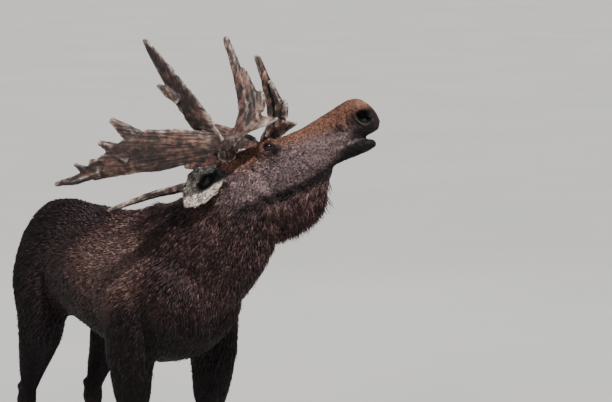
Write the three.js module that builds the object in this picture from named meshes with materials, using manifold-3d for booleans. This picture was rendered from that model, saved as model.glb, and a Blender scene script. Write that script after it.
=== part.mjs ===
// A bull moose standing still with its head raised and turned to its left, reaching up to browse.
// Millimetres, +Z up, +X from tail to chest, +Y to the animal's left, soles on z = 0.
import * as THREE from 'three';
import { mergeVertices } from 'three/addons/utils/BufferGeometryUtils.js';
import Module from 'manifold-3d';

const wasm = await Module();
wasm.setup();
const { Manifold, Mesh } = wasm;

// ---------------------------------------------------------------- sizes and pose
const WITHERS = 1795;          // top of the shoulder hump above the ground
const RUMP = 1690;             // top of the croup
const BRISKET = 1030;          // underside of the chest
const ELBOW_CUT = 985;         // where each leg leaves the body
const CORONET = 92;            // top of the hoof
const GAP = 0.3;               // thin cut between neighbouring nodes
const EYE_R = 22;
const FORE = { x: 440, y: 180 };
const HIND = { x: -700, y: 175 };

const POLL = new THREE.Vector3(785, 150, 1905);          // where the skull meets the neck
const HEAD = { yaw: 46, pitch: 26, roll: -10 };          // degrees
const rad = THREE.MathUtils.degToRad;
const headPose = new THREE.Matrix4()
  .makeRotationFromEuler(new THREE.Euler(rad(HEAD.roll), -rad(HEAD.pitch), rad(HEAD.yaw), 'ZYX'))
  .setPosition(POLL);
const headLeft = new THREE.Vector3(0, 1, 0).transformDirection(headPose);

// ---------------------------------------------------------------- shaping and joining
function solid(geometry) {
  const g = geometry.clone();
  for (const name of Object.keys(g.attributes)) if (name !== 'position') g.deleteAttribute(name);
  const m = mergeVertices(g, 1e-3);
  const pos = m.attributes.position;
  const tri = Array.from(m.index.array);
  const a = new THREE.Vector3(), b = new THREE.Vector3(), c = new THREE.Vector3();
  let volume = 0;
  for (let i = 0; i < tri.length; i += 3) {
    a.fromBufferAttribute(pos, tri[i]);
    b.fromBufferAttribute(pos, tri[i + 1]);
    c.fromBufferAttribute(pos, tri[i + 2]);
    volume += a.dot(b.cross(c));
  }
  if (volume < 0) for (let i = 0; i < tri.length; i += 3) [tri[i], tri[i + 1]] = [tri[i + 1], tri[i]];
  return new Manifold(new Mesh({
    numProp: 3, vertProperties: Float32Array.from(pos.array), triVerts: Uint32Array.from(tri),
  }));
}

const join = (...bodies) => bodies.reduce((all, body) => all.add(body));

// One rounded body along a spine. Each ring is [x, y, z, half width, up, down, peak, keel];
// peak and keel draw the top and the bottom of the section to a ridge.
// arch bows a flat section like a gutter, side gives the direction of the width, and facing
// keeps every section square to one direction.
function loft(rings, { around = 14, steps = 2, side = [0, 1, 0], sideEnd = side, arch = 0,
  pose = null, blunt = [0.25, 0.25], facing = null } = {}) {
  const spine = new THREE.CatmullRomCurve3(rings.map((r) => new THREE.Vector3(r[0], r[1], r[2])));
  const girth = new THREE.CatmullRomCurve3(rings.map((r) => new THREE.Vector3(r[3], r[4], r[5] ?? r[4])));
  const ridge = new THREE.CatmullRomCurve3(rings.map((r, i) => new THREE.Vector3(r[6] ?? 0, r[7] ?? 0, i)));
  const rows = (rings.length - 1) * steps + 2;
  const g = new THREE.SphereGeometry(1, around, rows);
  const p = g.attributes.position;
  const from = new THREE.Vector3(...side), to = new THREE.Vector3(...sideEnd);
  for (let row = 0, n = 0; row <= rows; row += 1) {
    const t = THREE.MathUtils.clamp((row - 1) / (rows - 2), 0, 1);
    const centre = spine.getPoint(t);
    const along = facing ? new THREE.Vector3(...facing) : spine.getTangent(t);
    const size = girth.getPoint(t), edge = ridge.getPoint(t);
    const across = from.clone().lerp(to, t);
    across.addScaledVector(along, -across.dot(along)).normalize();
    const rise = along.clone().cross(across);
    const pole = row === 0 || row === rows;
    if (row === 0) centre.addScaledVector(along, -blunt[0] * size.y);
    if (row === rows) centre.addScaledVector(along, blunt[1] * size.y);
    for (let k = 0; k <= around; k += 1, n += 1) {
      const turn = (2 * Math.PI * (k % around)) / around;
      const s = pole ? 0 : Math.sin(turn), c = pole ? 0 : Math.cos(turn);
      const thin = s > 0 ? 1 - Math.max(0, edge.x) * s * s : 1 - Math.max(0, edge.y) * s * s;
      const w = size.x * thin * c;
      const h = (s > 0 ? size.y : size.z) * s + arch * (w / 100) ** 2;
      const v = centre.clone().addScaledVector(across, w).addScaledVector(rise, h);
      p.setXYZ(n, v.x, v.y, v.z);
    }
  }
  if (pose) g.applyMatrix4(pose);
  return solid(g);
}

// A straight or bent tapering prong through the given points, with its root and tip radii.
// flat is its thickness as a share of its width.
function prong(points, root, tip, { flat = 1, ...options } = {}) {
  const last = points.length - 1;
  const rings = points.map((q, i) => {
    const r = THREE.MathUtils.lerp(root, tip, (i / last) ** 1.3);
    return [...q, r, r * flat];
  });
  return loft(rings, { around: 5, steps: 1, side: [1, 0.3, 0.2], blunt: [0.5, 0.8], ...options });
}

// An egg or ball with its own half sizes, turned and placed.
function egg(at, half, turn = [0, 0, 0], pose = null, around = 12, rows = 8) {
  const g = new THREE.SphereGeometry(1, around, rows).scale(...half);
  g.applyMatrix4(new THREE.Matrix4().makeRotationFromEuler(new THREE.Euler(...turn.map(rad), 'ZYX')));
  g.translate(...at);
  if (pose) g.applyMatrix4(pose);
  return solid(g);
}

// Everything ahead of a plane as a box of the given reach and depth, its face moved by the shift.
function ahead(point, normal, shift, pose = null, reach = 1500, depth = 2 * reach) {
  const n = new THREE.Vector3(...normal).normalize();
  const g = new THREE.BoxGeometry(2 * reach, 2 * reach, depth);
  g.translate(0, 0, depth / 2 + shift);
  g.applyQuaternion(new THREE.Quaternion().setFromUnitVectors(new THREE.Vector3(0, 0, 1), n));
  g.translate(...point);
  if (pose) g.applyMatrix4(pose);
  return solid(g);
}

function part(body, point, normal, pose = null, reach = 1500, depth = 2 * reach) {
  return [body.intersect(ahead(point, normal, GAP / 2, pose, reach, depth)),
    body.subtract(ahead(point, normal, -GAP / 2, pose, reach + GAP, depth))];
}

function block(x0, x1, y0, y1, z0, z1) {
  return solid(new THREE.BoxGeometry(x1 - x0, y1 - y0, z1 - z0)
    .translate((x0 + x1) / 2, (y0 + y1) / 2, (z0 + z1) / 2));
}

// ---------------------------------------------------------------- trunk, neck and tail
// x, top, underside, half width, how narrow the back is
const trunkLevels = [
  [-955, 1530, 1300, 70, 0.1], [-915, 1632, 1180, 162, 0.2], [-825, 1686, 1110, 236, 0.3],
  [-650, RUMP + 14, 1100, 272, 0.4], [-460, RUMP + 8, 1105, 280, 0.4],
  [-230, RUMP + 12, 1072, 296, 0.35], [20, 1706, BRISKET - 10, 314, 0.4],
  [225, 1746, BRISKET - 35, 308, 0.5], [390, WITHERS, BRISKET - 30, 290, 0.6],
  [560, 1745, BRISKET + 5, 276, 0.5], [700, 1650, BRISKET + 50, 250, 0.3],
  [790, 1530, 1160, 208, 0.1], [842, 1440, 1255, 104, 0],
];
const trunkBody = loft(trunkLevels.map(([x, top, low, w, peak]) => {
  const mid = low + (top - low) * 0.46;
  return [x, 0, mid, w, top - mid, mid - low, peak, 0.25];
}), { around: 20, steps: 1, facing: [1, 0, 0] });

const neckBody = loft([
  [330, -10, 1440, 190, 300, 300, 0.5, 0.2],
  [530, 5, 1525, 208, 290, 372, 0.45, 0.2],
  [690, 60, 1650, 192, 235, 386, 0.4, 0.25],
  [800, 125, 1770, 160, 185, 340, 0.35, 0.3],
  [865, 185, 1868, 130, 135, 252, 0.25, 0.3],
  [915, 235, 1930, 104, 108, 165, 0.1, 0.3],
], { around: 14, steps: 2, sideEnd: headLeft.toArray() });

// The tail is short and lies in a shallow seat on the rump.
const tailBody = (extra) => loft([
  [-850, 0, 1560, 36, 26], [-915, 0, 1548, 34, 24], [-952, 0, 1500, 32, 22], [-958, 0, 1440, 27, 18],
  [-950, 0, 1385, 14, 10],
].map(([x, y, z, w, h]) => [x, y, z, w + extra, h + extra]), { around: 10, steps: 1 });

// ---------------------------------------------------------------- legs
// x, y, z, half width, reach forward, reach back
function foreleg(side, step) {
  const y = side * FORE.y, x = FORE.x;
  return loft([
    [x - 110, y * 0.72, 1600, 60, 90], [x - 40, y * 0.98, 1460, 96, 150],
    [x + 30, y * 1.17, 1320, 124, 178, 160], [x + 28, y * 1.2, 1170, 120, 172, 168],
    [x + 16 + step * 0.3, y * 1.18, 1050, 114, 156, 142], [x + 10 + step * 0.45, y * 1.13, 930, 96, 120, 100],
    [x + 4 + step * 0.58, y * 1.04, 780, 62, 72, 68], [x + 4 + step * 0.6, y, 665, 47, 51, 50],
    [x + 10 + step * 0.7, y, 600, 53, 57, 48], [x + 4 + step * 0.75, y, 535, 44, 46, 46],
    [x + step * 0.75, y, 420, 36, 38, 39], [x - 2 + step * 0.85, y, 280, 36, 38, 41],
    [x + 2 + step * 0.93, y, 205, 45, 48, 53], [x + 24 + step * 0.97, y, 148, 41, 41, 43],
    [x + 44 + step, y, 96, 50, 54, 52], [x + 58 + step, y, 50, 57, 67, 61], [x + 64 + step, y, 0, 61, 79, 67],
  ], { around: 10, steps: 1, blunt: [0.25, 0], facing: [0, 0, -1] });
}

function hindleg(side, step) {
  const y = side * HIND.y, x = HIND.x;
  return loft([
    [x + 120, y * 0.6, 1580, 70, 120], [x + 95, y * 1.04, 1440, 112, 205, 205],
    [x + 95, y * 1.16, 1270, 122, 235, 222], [x + 110, y * 1.16, 1120, 112, 215, 188],
    [x + 88, y * 1.16, 1000, 106, 168, 150], [x + 26 + step * 0.2, y * 1.1, 885, 84, 112, 112],
    [x - 50 + step * 0.3, y * 1.04, 770, 60, 74, 78], [x - 102 + step * 0.4, y, 690, 47, 58, 64],
    [x - 112 + step * 0.5, y, 625, 47, 55, 54], [x - 104 + step * 0.55, y, 550, 41, 46, 44],
    [x - 94 + step * 0.7, y, 430, 34, 38, 39], [x - 82 + step * 0.8, y, 290, 35, 38, 41],
    [x - 74 + step * 0.9, y, 208, 44, 48, 53], [x - 50 + step * 0.95, y, 150, 40, 40, 43],
    [x - 30 + step, y, 98, 48, 52, 50], [x - 16 + step, y, 50, 55, 65, 59], [x - 10 + step, y, 0, 58, 76, 64],
  ], { around: 10, steps: 1, blunt: [0.25, 0], facing: [0, 0, -1] });
}

function dewclaws(x, y) {
  const claw = (s) => [[x, y + s * 20, 190], [x - 34, y + s * 24, 165], [x - 48, y + s * 25, 138]];
  return join(...[-1, 1].map((s) => prong(claw(s), 17, 9, { around: 6 })));
}

const stance = {
  foreleg_right: { leg: foreleg(-1, -40), x: FORE.x - 40, y: -FORE.y, toe: FORE.x - 40 + 64 },
  foreleg_left: { leg: foreleg(1, 85), x: FORE.x + 85, y: FORE.y, toe: FORE.x + 85 + 64 },
  hindleg_right: { leg: hindleg(-1, -70), x: HIND.x - 76 - 70, y: -HIND.y, toe: HIND.x - 10 - 70 },
  hindleg_left: { leg: hindleg(1, 60), x: HIND.x - 76 + 60, y: HIND.y, toe: HIND.x - 10 + 60 },
};

// ---------------------------------------------------------------- head (in its own frame: x to the nose)
// x, top, underside, half width, how narrow the top and the underside are
const skullLevels = [
  [-95, 70, -60, 52, 0, 0], [-50, 108, -110, 92, 0.1, 0.1], [20, 122, -140, 110, 0.1, 0.2],
  [110, 122, -152, 112, 0.15, 0.1], [190, 116, -150, 106, 0.2, 0.1], [265, 108, -142, 94, 0.3, 0.1],
  [340, 99, -130, 79, 0.3, 0.1], [430, 97, -116, 67, 0.3, 0.1], [525, 108, -96, 62, 0.3, 0.1],
  [615, 118, -78, 68, 0.3, 0], [685, 123, -74, 78, 0.25, 0], [736, 106, -76, 78, 0.15, 0],
  [768, 62, -68, 64, 0, 0], [781, 20, -42, 38, 0, 0],
];
const skull = loft(skullLevels.map(([x, top, low, w, peak, keel]) => {
  const mid = low + (top - low) * 0.5;
  return [x, 0, mid, w, top - mid, mid - low, peak, keel];
}), { around: 14, steps: 1, facing: [1, 0, 0], pose: headPose });

const lowerJaw = loft([
  [40, 0, -92, 90, 62, 62], [190, 0, -94, 82, 60, 62], [330, 0, -90, 62, 54, 52], [460, 0, -88, 52, 46, 48],
  [580, 0, -94, 51, 38, 46], [668, 0, -104, 50, 26, 42], [728, 0, -114, 36, 16, 26],
], { around: 8, steps: 1, facing: [1, 0, 0], pose: headPose });

const brows = [-1, 1].map((s) => egg([262, s * 83, 56], [66, 28, 44], [0, 6, s * -12], headPose, 8, 6));
const nostrilWings = [-1, 1].map((s) => (
  egg([716, s * 54, 42], [52, 30, 40], [0, 14, s * 12], headPose, 8, 5)));
const nostrils = [-1, 1].map((s) => egg([744, s * 82, 0], [34, 24, 22], [0, 24, s * -30], headPose, 8, 6));
const pedicles = [-1, 1].map((s) => loft([
  [45, s * 45, 70, 42, 42], [62, s * 88, 98, 38, 38], [80, s * 130, 112, 34, 34],
], { around: 8, steps: 1, side: [1, 0, 0.2], pose: headPose }));

// The bell: a flap of skin and long hair under the throat.
const bellBody = loft([
  [60, 0, -150, 36, 70, 90], [150, 0, -195, 50, 110, 118, 0, 0.4], [250, 0, -205, 48, 120, 114, 0, 0.5],
  [350, 0, -190, 40, 110, 96, 0, 0.5], [430, 0, -160, 28, 80, 60, 0, 0.4], [485, 0, -130, 14, 50, 28],
], { around: 8, steps: 1, pose: headPose });

// ---------------------------------------------------------------- ears
// Each ear is a leaf, rolled like a scoop: tip direction and the way the scoop opens, in the head frame.
function ear(side, tip, open) {
  const root = new THREE.Vector3(34, side * 92, 70);
  const axis = new THREE.Vector3(...tip).multiply(new THREE.Vector3(1, side, 1));
  const mouth = new THREE.Vector3(...open).multiply(new THREE.Vector3(1, side, 1));
  const length = axis.length();
  axis.normalize();
  const width = new THREE.Vector3().crossVectors(mouth, axis).normalize();
  const leaf = [
    [0, 32, 20], [0.16, 50, 15], [0.34, 84, 11], [0.55, 94, 9], [0.75, 80, 8], [0.92, 44, 7], [1.0, 14, 5],
  ];
  const spot = (t) => root.clone().addScaledVector(axis, t * length).toArray();
  const made = (extra) => join(
    loft(leaf.map(([t, w, thick]) => [...spot(t), w + extra, thick + extra]),
      { around: 9, steps: 1, side: width.toArray(), arch: 66, pose: headPose }),
    loft([[...spot(-0.15), 34 + extra, 32 + extra], [...spot(0.08), 36 + extra, 30 + extra],
      [...spot(0.26), 34 + extra, 20 + extra],
    ], { around: 7, steps: 1, side: width.toArray(), pose: headPose }),
  );
  const [node, stub] = part(made(0), spot(0.08), axis.toArray(), headPose, 500);
  const relief = made(3 * GAP).intersect(ahead(spot(0.08), axis.toArray(), -GAP / 2, headPose, 500));
  return { node, stub, relief };
}

const ears = {
  right: ear(-1, [-215, 120, -120], [0.35, 1, 0.25]),
  left: ear(1, [-150, 215, -20], [0.7, 0.6, -0.1]),
};

// ---------------------------------------------------------------- antlers
// Points are written for the left antler in the head frame; side -1 mirrors them to the right.
// Each side has its own reach, spread and drop of the palm, lowest tine, upper blade and brow tines.
function antler(side, { reach, spread, drop, low, blade: [tall, lean], brow: [high, forward] }) {
  const out = (y) => side * (y < 268 ? y : 268 + (y - 268) * spread);
  const at = (x, y, z) => [x < 0 ? x * reach : x, out(y), x < 0 ? z + (drop * x) / 636 : z];
  const up = (x, y, z) => [95 + (x - 95) * tall - lean * (z - 140) / 575, out(y), 140 + (z - 140) * tall];
  const front = (x, y, z) => [x + forward * (z - 165) / 450, side * y, z < 165 ? z : 165 + (z - 165) * high];
  const options = { pose: headPose };
  const width = [0, side * 0.45, 0.89];
  const beam = loft([
    [...at(62, 88, 98), 33, 33], [...at(80, 128, 112), 30, 30], [...at(105, 180, 122), 30, 28],
    [...at(135, 232, 130), 36, 28], [...at(150, 268, 140), 40, 22],
  ], { around: 8, steps: 1, side: [1, 0, 0.1], ...options });
  const burr = loft([
    [...at(70, 108, 106), 38, 38], [...at(75, 119, 110), 46, 46], [...at(80, 130, 113), 38, 38],
  ], { around: 8, steps: 1, side: [1, 0, 0.1], ...options });
  const palm = loft([
    [...at(150, 252, 128), 34, 20], [...at(70, 320, 152), 62, 17], [...at(-40, 378, 178), 92, 14],
    [...at(-160, 420, 212), 108, 12], [...at(-265, 445, 230), 90, 12], [...at(-375, 458, 232), 62, 12],
    [...at(-465, 466, 236), 42, 12],
  ], { around: 10, steps: 1, side: width, arch: 9, ...options });
  const leafy = { flat: 0.5, ...options };
  const points = [
    prong([at(-186, 436, 270), at(-232, 460, 345), at(-270, 478, 420)], 52, 15, leafy),
    prong([at(-262, 446, 232), at(-320, 468, 294), at(-364, 482, 346)], 46, 15, leafy),
    prong([at(-385, 460, 232), at(-424, 469, 266), at(-438, 474, 292)], 32, 11, leafy),
    prong([at(-452, 466, 232), at(-496, 473, 274), at(-516, 478, 304)], 26, 11, leafy),
    prong(low.map(([x, y, z]) => [x, side * y, z]), 30, 12, options),
  ];
  const blade = loft([
    [...up(112, 288, 138), 34, 20], [...up(82, 340, 262), 66, 15], [...up(58, 368, 390), 60, 13],
    [...up(36, 388, 520), 44, 12], [...up(14, 398, 630), 27, 11], [...up(0, 404, 708), 12, 9],
  ], { around: 8, steps: 1, side: [1, side * 0.35, 0.1], arch: 6, ...options });
  const spike = prong([up(44, 372, 390), up(6, 384, 436), up(-24, 392, 490)], 38, 12, leafy);
  const brow = loft([
    [...at(140, 245, 125), 34, 22], [...at(190, 218, 158), 38, 18], [...at(245, 196, 176), 44, 15],
    [...at(300, 168, 172), 34, 13], [...at(372, 135, 152), 10, 9],
  ], { around: 8, steps: 1, side: [0.3, side * -0.5, 0.8], ...options });
  const browPoints = [
    prong([front(210, 212, 160), front(262, 196, 240), front(284, 182, 360), front(292, 168, 480),
      front(296, 154, 606)], 42, 17, { flat: 0.6, ...options }),
    prong([front(282, 174, 180), front(318, 164, 300), front(316, 152, 438)], 34, 13,
      { flat: 0.7, ...options }),
    prong([front(318, 162, 220), front(346, 150, 268), front(354, 146, 308)], 22, 10, options),
  ];
  const whole = join(beam, burr, palm, blade, spike, ...points, brow, ...browPoints);
  const [armNode, stems] = part(whole, at(98, 298, 150), [-0.7, side * 0.7, 0.12], headPose, 1200);
  const [browNode, stem] = part(stems, at(176, 222, 150), [0.62, side * -0.3, 0.72], headPose, 1200);
  const [beamNode] = part(stem, at(72, 112, 107), [0.38, side * 0.9, 0.2], headPose, 1200);
  const [split, palmNode] = side < 0
    ? part(armNode, at(66, 347, 326), [-0.16, side * 0.14, 0.97], headPose, 140, 900)
    : part(armNode, [-196, 306, 138], [-0.979, -0.173, 0.108], headPose, 56, 700);
  return { beam: beamNode, palm: palmNode, brow: browNode, split };
}

const antlers = {
  right: antler(-1, {
    reach: 1, spread: 1, drop: 0, low: [[-420, 464, 226], [-540, 474, 236], [-636, 484, 256]],
    blade: [1, 0], brow: [1, 0],
  }),
  left: antler(1, {
    reach: 0.66, spread: 0.85, drop: -60,
    low: [[-10, 350, 150], [-290, 292, 131], [-479, 257, 168], [-689, 214, 179]],
    blade: [0.5, 205], brow: [0.84, 20],
  }),
};

// ---------------------------------------------------------------- one body, then parted
const eyeAt = (s) => [268, s * 97, 58];
const eyeball = (s, r) => egg(eyeAt(s), [r, r, r], [0, 0, 0], headPose, 8, 7);
let flesh = join(trunkBody, neckBody, skull, lowerJaw, ...brows, ...nostrilWings, ...pedicles,
  bellBody, ears.right.stub, ears.left.stub,
  ...Object.values(stance).map((s) => s.leg),
  ...Object.values(stance).map((s) => dewclaws(s.x, s.y)));
const tailCut = [[-905, 0, 1545], [-1, 0, -0.2]];
const [tail] = part(tailBody(0), ...tailCut);
const tailSeat = tailBody(GAP).intersect(ahead(...tailCut, -GAP / 2));
flesh = flesh.subtract(join(...nostrils, ears.right.relief, ears.left.relief, tailSeat));
for (const s of [-1, 1]) {
  flesh = flesh.subtract(eyeball(s, EYE_R + GAP));
  flesh = flesh.subtract(ahead([72, s * 112, 107], [0.38, s * 0.9, 0.2], -GAP / 2, headPose, 40));
}

const nodes = {};
for (const [name, { leg, y, toe }] of Object.entries(stance)) {
  const s = Math.sign(y);
  const [x0, x1] = name.startsWith('fore') ? [150, 700] : [-1100, -380];
  const [y0, y1] = s < 0 ? [-500, -25] : [25, 500];
  let limb = flesh.intersect(block(x0, x1, y0, y1, -10, ELBOW_CUT - GAP / 2));
  flesh = flesh.subtract(block(x0, x1, y0, y1, -10, ELBOW_CUT + GAP / 2));
  const [top, hoof] = part(limb, [0, 0, CORONET], [0, 0, 1]);
  nodes[name] = { body: top, slot: 'hide' };
  nodes[name.replace(/fore.*_|hind.*_/, (m) => (m.startsWith('fore') ? 'hoof_fore_' : 'hoof_hind_'))] = {
    body: hoof.subtract(block(toe + 6, toe + 120, y - 4, y + 4, -5, CORONET - 22)), slot: 'horn',
  };
}

const [fore, rear] = part(flesh, [612, 0, 1500], [0.86, 0, 0.51]);
const [headNode, neckNode] = part(fore, [-10, 0, 0], [0.9, 0, 0.44], headPose);
nodes.head = { body: headNode, slot: 'hide' };
nodes.neck = { body: neckNode, slot: 'hide' };
nodes.trunk = { body: rear, slot: 'hide' };
nodes.tail = { body: tail, slot: 'hide' };
for (const [side, s] of [['right', -1], ['left', 1]]) {
  nodes[`ear_${side}`] = { body: ears[side].node, slot: 'hide' };
  nodes[`eye_${side}`] = { body: eyeball(s, EYE_R), slot: 'eye' };
  nodes[`antler_beam_${side}`] = { body: antlers[side].beam, slot: 'antler' };
  nodes[`antler_palm_${side}`] = { body: antlers[side].palm, slot: 'antler' };
  nodes[`antler_brow_${side}`] = { body: antlers[side].brow, slot: 'antler' };
}
nodes.antler_blade_right = { body: antlers.right.split, slot: 'antler' };
nodes.antler_tine_left = { body: antlers.left.split, slot: 'antler' };

// ---------------------------------------------------------------- the group of named nodes
const looks = {
  hide: { color: 0x3a2c25, roughness: 0.9 },
  horn: { color: 0x1d1815, roughness: 0.5 },
  eye: { color: 0x160d08, roughness: 0.05 },
  antler: { color: 0x8a6a4c, roughness: 0.6 },
};
const moose = new THREE.Group();
moose.name = 'moose';
for (const [name, { body, slot }] of Object.entries(nodes)) {
  const { vertProperties, triVerts, numProp } = body.getMesh();
  const g = new THREE.BufferGeometry();
  const xyz = new Float32Array((vertProperties.length / numProp) * 3);
  for (let i = 0; i < xyz.length; i += 1) {
    xyz[i] = vertProperties[numProp * Math.floor(i / 3) + (i % 3)];
  }
  g.setAttribute('position', new THREE.BufferAttribute(xyz, 3));
  g.setIndex(Array.from(triVerts));
  g.computeVertexNormals();
  const mesh = new THREE.Mesh(g, new THREE.MeshStandardMaterial({ name: slot, ...looks[slot] }));
  mesh.name = name;
  moose.add(mesh);
}

// The origin goes to the middle of the whole outline seen from above.
const middle = new THREE.Box3().setFromObject(moose).getCenter(new THREE.Vector3());
for (const mesh of moose.children) mesh.geometry.translate(-middle.x, -middle.y, 0);

export default moose;
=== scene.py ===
import math

import bpy
import numpy as np
from bpy.props import FloatProperty, IntProperty, PointerProperty
from mathutils import Matrix, Vector, noise
from mathutils.bvhtree import BVHTree


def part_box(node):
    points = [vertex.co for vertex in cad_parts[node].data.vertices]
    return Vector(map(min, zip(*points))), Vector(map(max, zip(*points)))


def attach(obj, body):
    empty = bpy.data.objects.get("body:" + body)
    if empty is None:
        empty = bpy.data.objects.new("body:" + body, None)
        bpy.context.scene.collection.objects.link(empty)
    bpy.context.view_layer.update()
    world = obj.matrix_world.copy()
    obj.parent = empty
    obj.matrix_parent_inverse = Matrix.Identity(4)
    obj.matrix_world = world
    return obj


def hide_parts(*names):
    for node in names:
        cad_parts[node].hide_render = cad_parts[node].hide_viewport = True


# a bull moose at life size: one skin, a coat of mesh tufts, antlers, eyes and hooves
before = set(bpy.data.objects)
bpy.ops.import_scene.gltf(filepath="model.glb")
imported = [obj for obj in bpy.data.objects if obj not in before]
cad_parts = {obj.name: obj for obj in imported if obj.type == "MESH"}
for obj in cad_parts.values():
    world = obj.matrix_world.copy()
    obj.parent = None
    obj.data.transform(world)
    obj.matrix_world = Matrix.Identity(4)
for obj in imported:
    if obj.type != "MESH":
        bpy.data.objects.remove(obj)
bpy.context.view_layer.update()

bl_info = {
    "name": "Standing Moose",
    "version": (1, 0, 0),
    "blender": (4, 5, 0),
    "location": "View3D > Sidebar > Moose",
    "description": "Dresses the packed moose with skin, coat, antlers, eyes and hooves",
    "category": "Add Mesh",
}

# ------------------------------------------------------------------ the animal's own frames
FLESH = ["trunk", "neck", "head", "tail", "ear_left", "ear_right",
         "foreleg_left", "foreleg_right", "hindleg_left", "hindleg_right"]
EYES = ["eye_left", "eye_right"]
HOOVES = ["hoof_fore_left", "hoof_fore_right", "hoof_hind_left", "hoof_hind_right"]
ANTLERS = {
    "left": ["antler_beam_left", "antler_palm_left", "antler_brow_left", "antler_tine_left"],
    "right": ["antler_beam_right", "antler_palm_right", "antler_brow_right", "antler_blade_right"],
}
HEAD_YAW, HEAD_PITCH, HEAD_ROLL = 46, 26, -10   # degrees
EYE_SEAT = (0.268, 0.0, 0.058)                  # between the eyes, in the head's own frame
EYE_OUT = 0.097
EYE_R = 0.022
GROW = 0.0012                                   # closes the thin cuts between nodes


def box_middle(node):
    low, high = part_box(node)
    return np.array((low + high) / 2)


HEAD_TURN = np.array(
    Matrix.Rotation(math.radians(HEAD_YAW), 3, "Z")
    @ Matrix.Rotation(math.radians(-HEAD_PITCH), 3, "Y")
    @ Matrix.Rotation(math.radians(HEAD_ROLL), 3, "X")
)
HEAD_AT = (box_middle("eye_left") + box_middle("eye_right")) / 2 - HEAD_TURN @ np.array(EYE_SEAT)
SPINE_Y = float(box_middle("tail")[1])


def to_head(p):
    """World points in the head's frame: x to the nose, y to its left, z to the crown."""
    return (p - HEAD_AT) @ HEAD_TURN


def from_head(q):
    return np.asarray(q, float) @ HEAD_TURN.T + HEAD_AT


# ------------------------------------------------------------------ small mesh helpers
def deselect():
    if bpy.context.object and bpy.context.object.mode != "OBJECT":
        bpy.ops.object.mode_set(mode="OBJECT")
    bpy.ops.object.select_all(action="DESELECT")


def choose(obj):
    deselect()
    obj.select_set(True)
    bpy.context.view_layer.objects.active = obj


def points_of(mesh):
    flat = np.empty(len(mesh.vertices) * 3)
    mesh.vertices.foreach_get("co", flat)
    return flat.reshape(-1, 3)


def normals_of(mesh):
    flat = np.empty(len(mesh.vertices) * 3, np.float32)
    mesh.vertex_normals.foreach_get("vector", flat)
    return flat.reshape(-1, 3).astype(float)


def place_points(mesh, p):
    mesh.vertices.foreach_set("co", np.asarray(p, np.float32).ravel())
    mesh.update()


def edges_of(mesh):
    flat = np.empty(len(mesh.edges) * 2, np.int32)
    mesh.edges.foreach_get("vertices", flat)
    return flat.reshape(-1, 2)


def neighbour_mean(values, edges):
    """Each vertex's mean over its neighbours, for values of shape (n, k)."""
    n = len(values)
    a, b = edges[:, 0], edges[:, 1]
    share = 1.0 / np.maximum(np.bincount(a, minlength=n) + np.bincount(b, minlength=n), 1)
    total = [np.bincount(a, values[b, k], n) + np.bincount(b, values[a, k], n)
             for k in range(values.shape[1])]
    return np.stack(total, 1) * share[:, None]


def relax(values, edges, amount, rounds):
    for _ in range(rounds):
        values = values + amount * (neighbour_mean(values, edges) - values)
    return values


def unit(v):
    return v / np.maximum(np.linalg.norm(v, axis=-1, keepdims=True), 1e-9)


def smooth_step(low, high, x):
    t = np.clip((x - low) / (high - low), 0, 1)
    return t * t * (3 - 2 * t)


def blob(q, centre, size):
    """1 at the centre, fading to 0 over an ellipsoid of the given half sizes."""
    return np.exp(-(((q - np.array(centre)) / np.array(size)) ** 2).sum(-1))


def along_path(q, path):
    """Distance from a path of points, and the share of the way along it."""
    best = np.full(len(q), 1e9)
    where = np.zeros(len(q))
    path = np.array(path, float)
    for k in range(len(path) - 1):
        a, d = path[k], path[k + 1] - path[k]
        t = np.clip((q - a) @ d / (d @ d), 0, 1)
        gap = np.linalg.norm(q - a - t[:, None] * d, axis=1)
        near = gap < best
        best[near] = gap[near]
        where[near] = (k + t[near]) / (len(path) - 1)
    return best, where


def ridge(q, path, width, height, taper=0.25):
    """A raised line, or a furrow where the height is negative, that fades at both ends."""
    gap, t = along_path(q, path)
    ends = smooth_step(-0.02, taper, t) * smooth_step(-0.02, taper, 1 - t)
    return height * ends * np.exp(-(gap / width) ** 2)


def grain(p, scale, seed=0.0):
    """Smooth noise from -1 to 1 at the points, scale features to the metre."""
    shift = Vector((seed, seed * 1.7, -seed))
    return np.array([noise.noise(Vector(v) + shift) for v in (np.asarray(p) * scale)])


def mix(a, b, share):
    share = np.asarray(share)[..., None]
    return a * (1 - share) + np.asarray(b) * share


def joined_copy(name, nodes, grow=0.0):
    """One mesh of the given CAD nodes, each merged and grown so that neighbours overlap."""
    deselect()
    copies = []
    for node in nodes:
        copy = bpy.data.objects.new(name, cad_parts[node].data.copy())
        bpy.context.scene.collection.objects.link(copy)
        copy.select_set(True)
        copies.append(copy)
    bpy.context.view_layer.objects.active = copies[0]
    bpy.ops.object.mode_set(mode="EDIT")
    bpy.ops.mesh.select_all(action="SELECT")
    bpy.ops.mesh.remove_doubles(threshold=0.00001)
    bpy.ops.object.mode_set(mode="OBJECT")
    if grow:
        for copy in copies:
            copy.data.update()
            place_points(copy.data, points_of(copy.data) + grow * normals_of(copy.data))
    if len(copies) > 1:
        bpy.ops.object.join()
    piece = bpy.context.object
    piece.name = piece.data.name = name
    return piece


def apply_modifier(piece, kind, **values):
    choose(piece)
    bpy.ops.object.modifier_add(type=kind)
    modifier = piece.modifiers[-1]
    for key, value in values.items():
        setattr(modifier, key, value)
    bpy.ops.object.modifier_apply(modifier=modifier.name)


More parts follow.
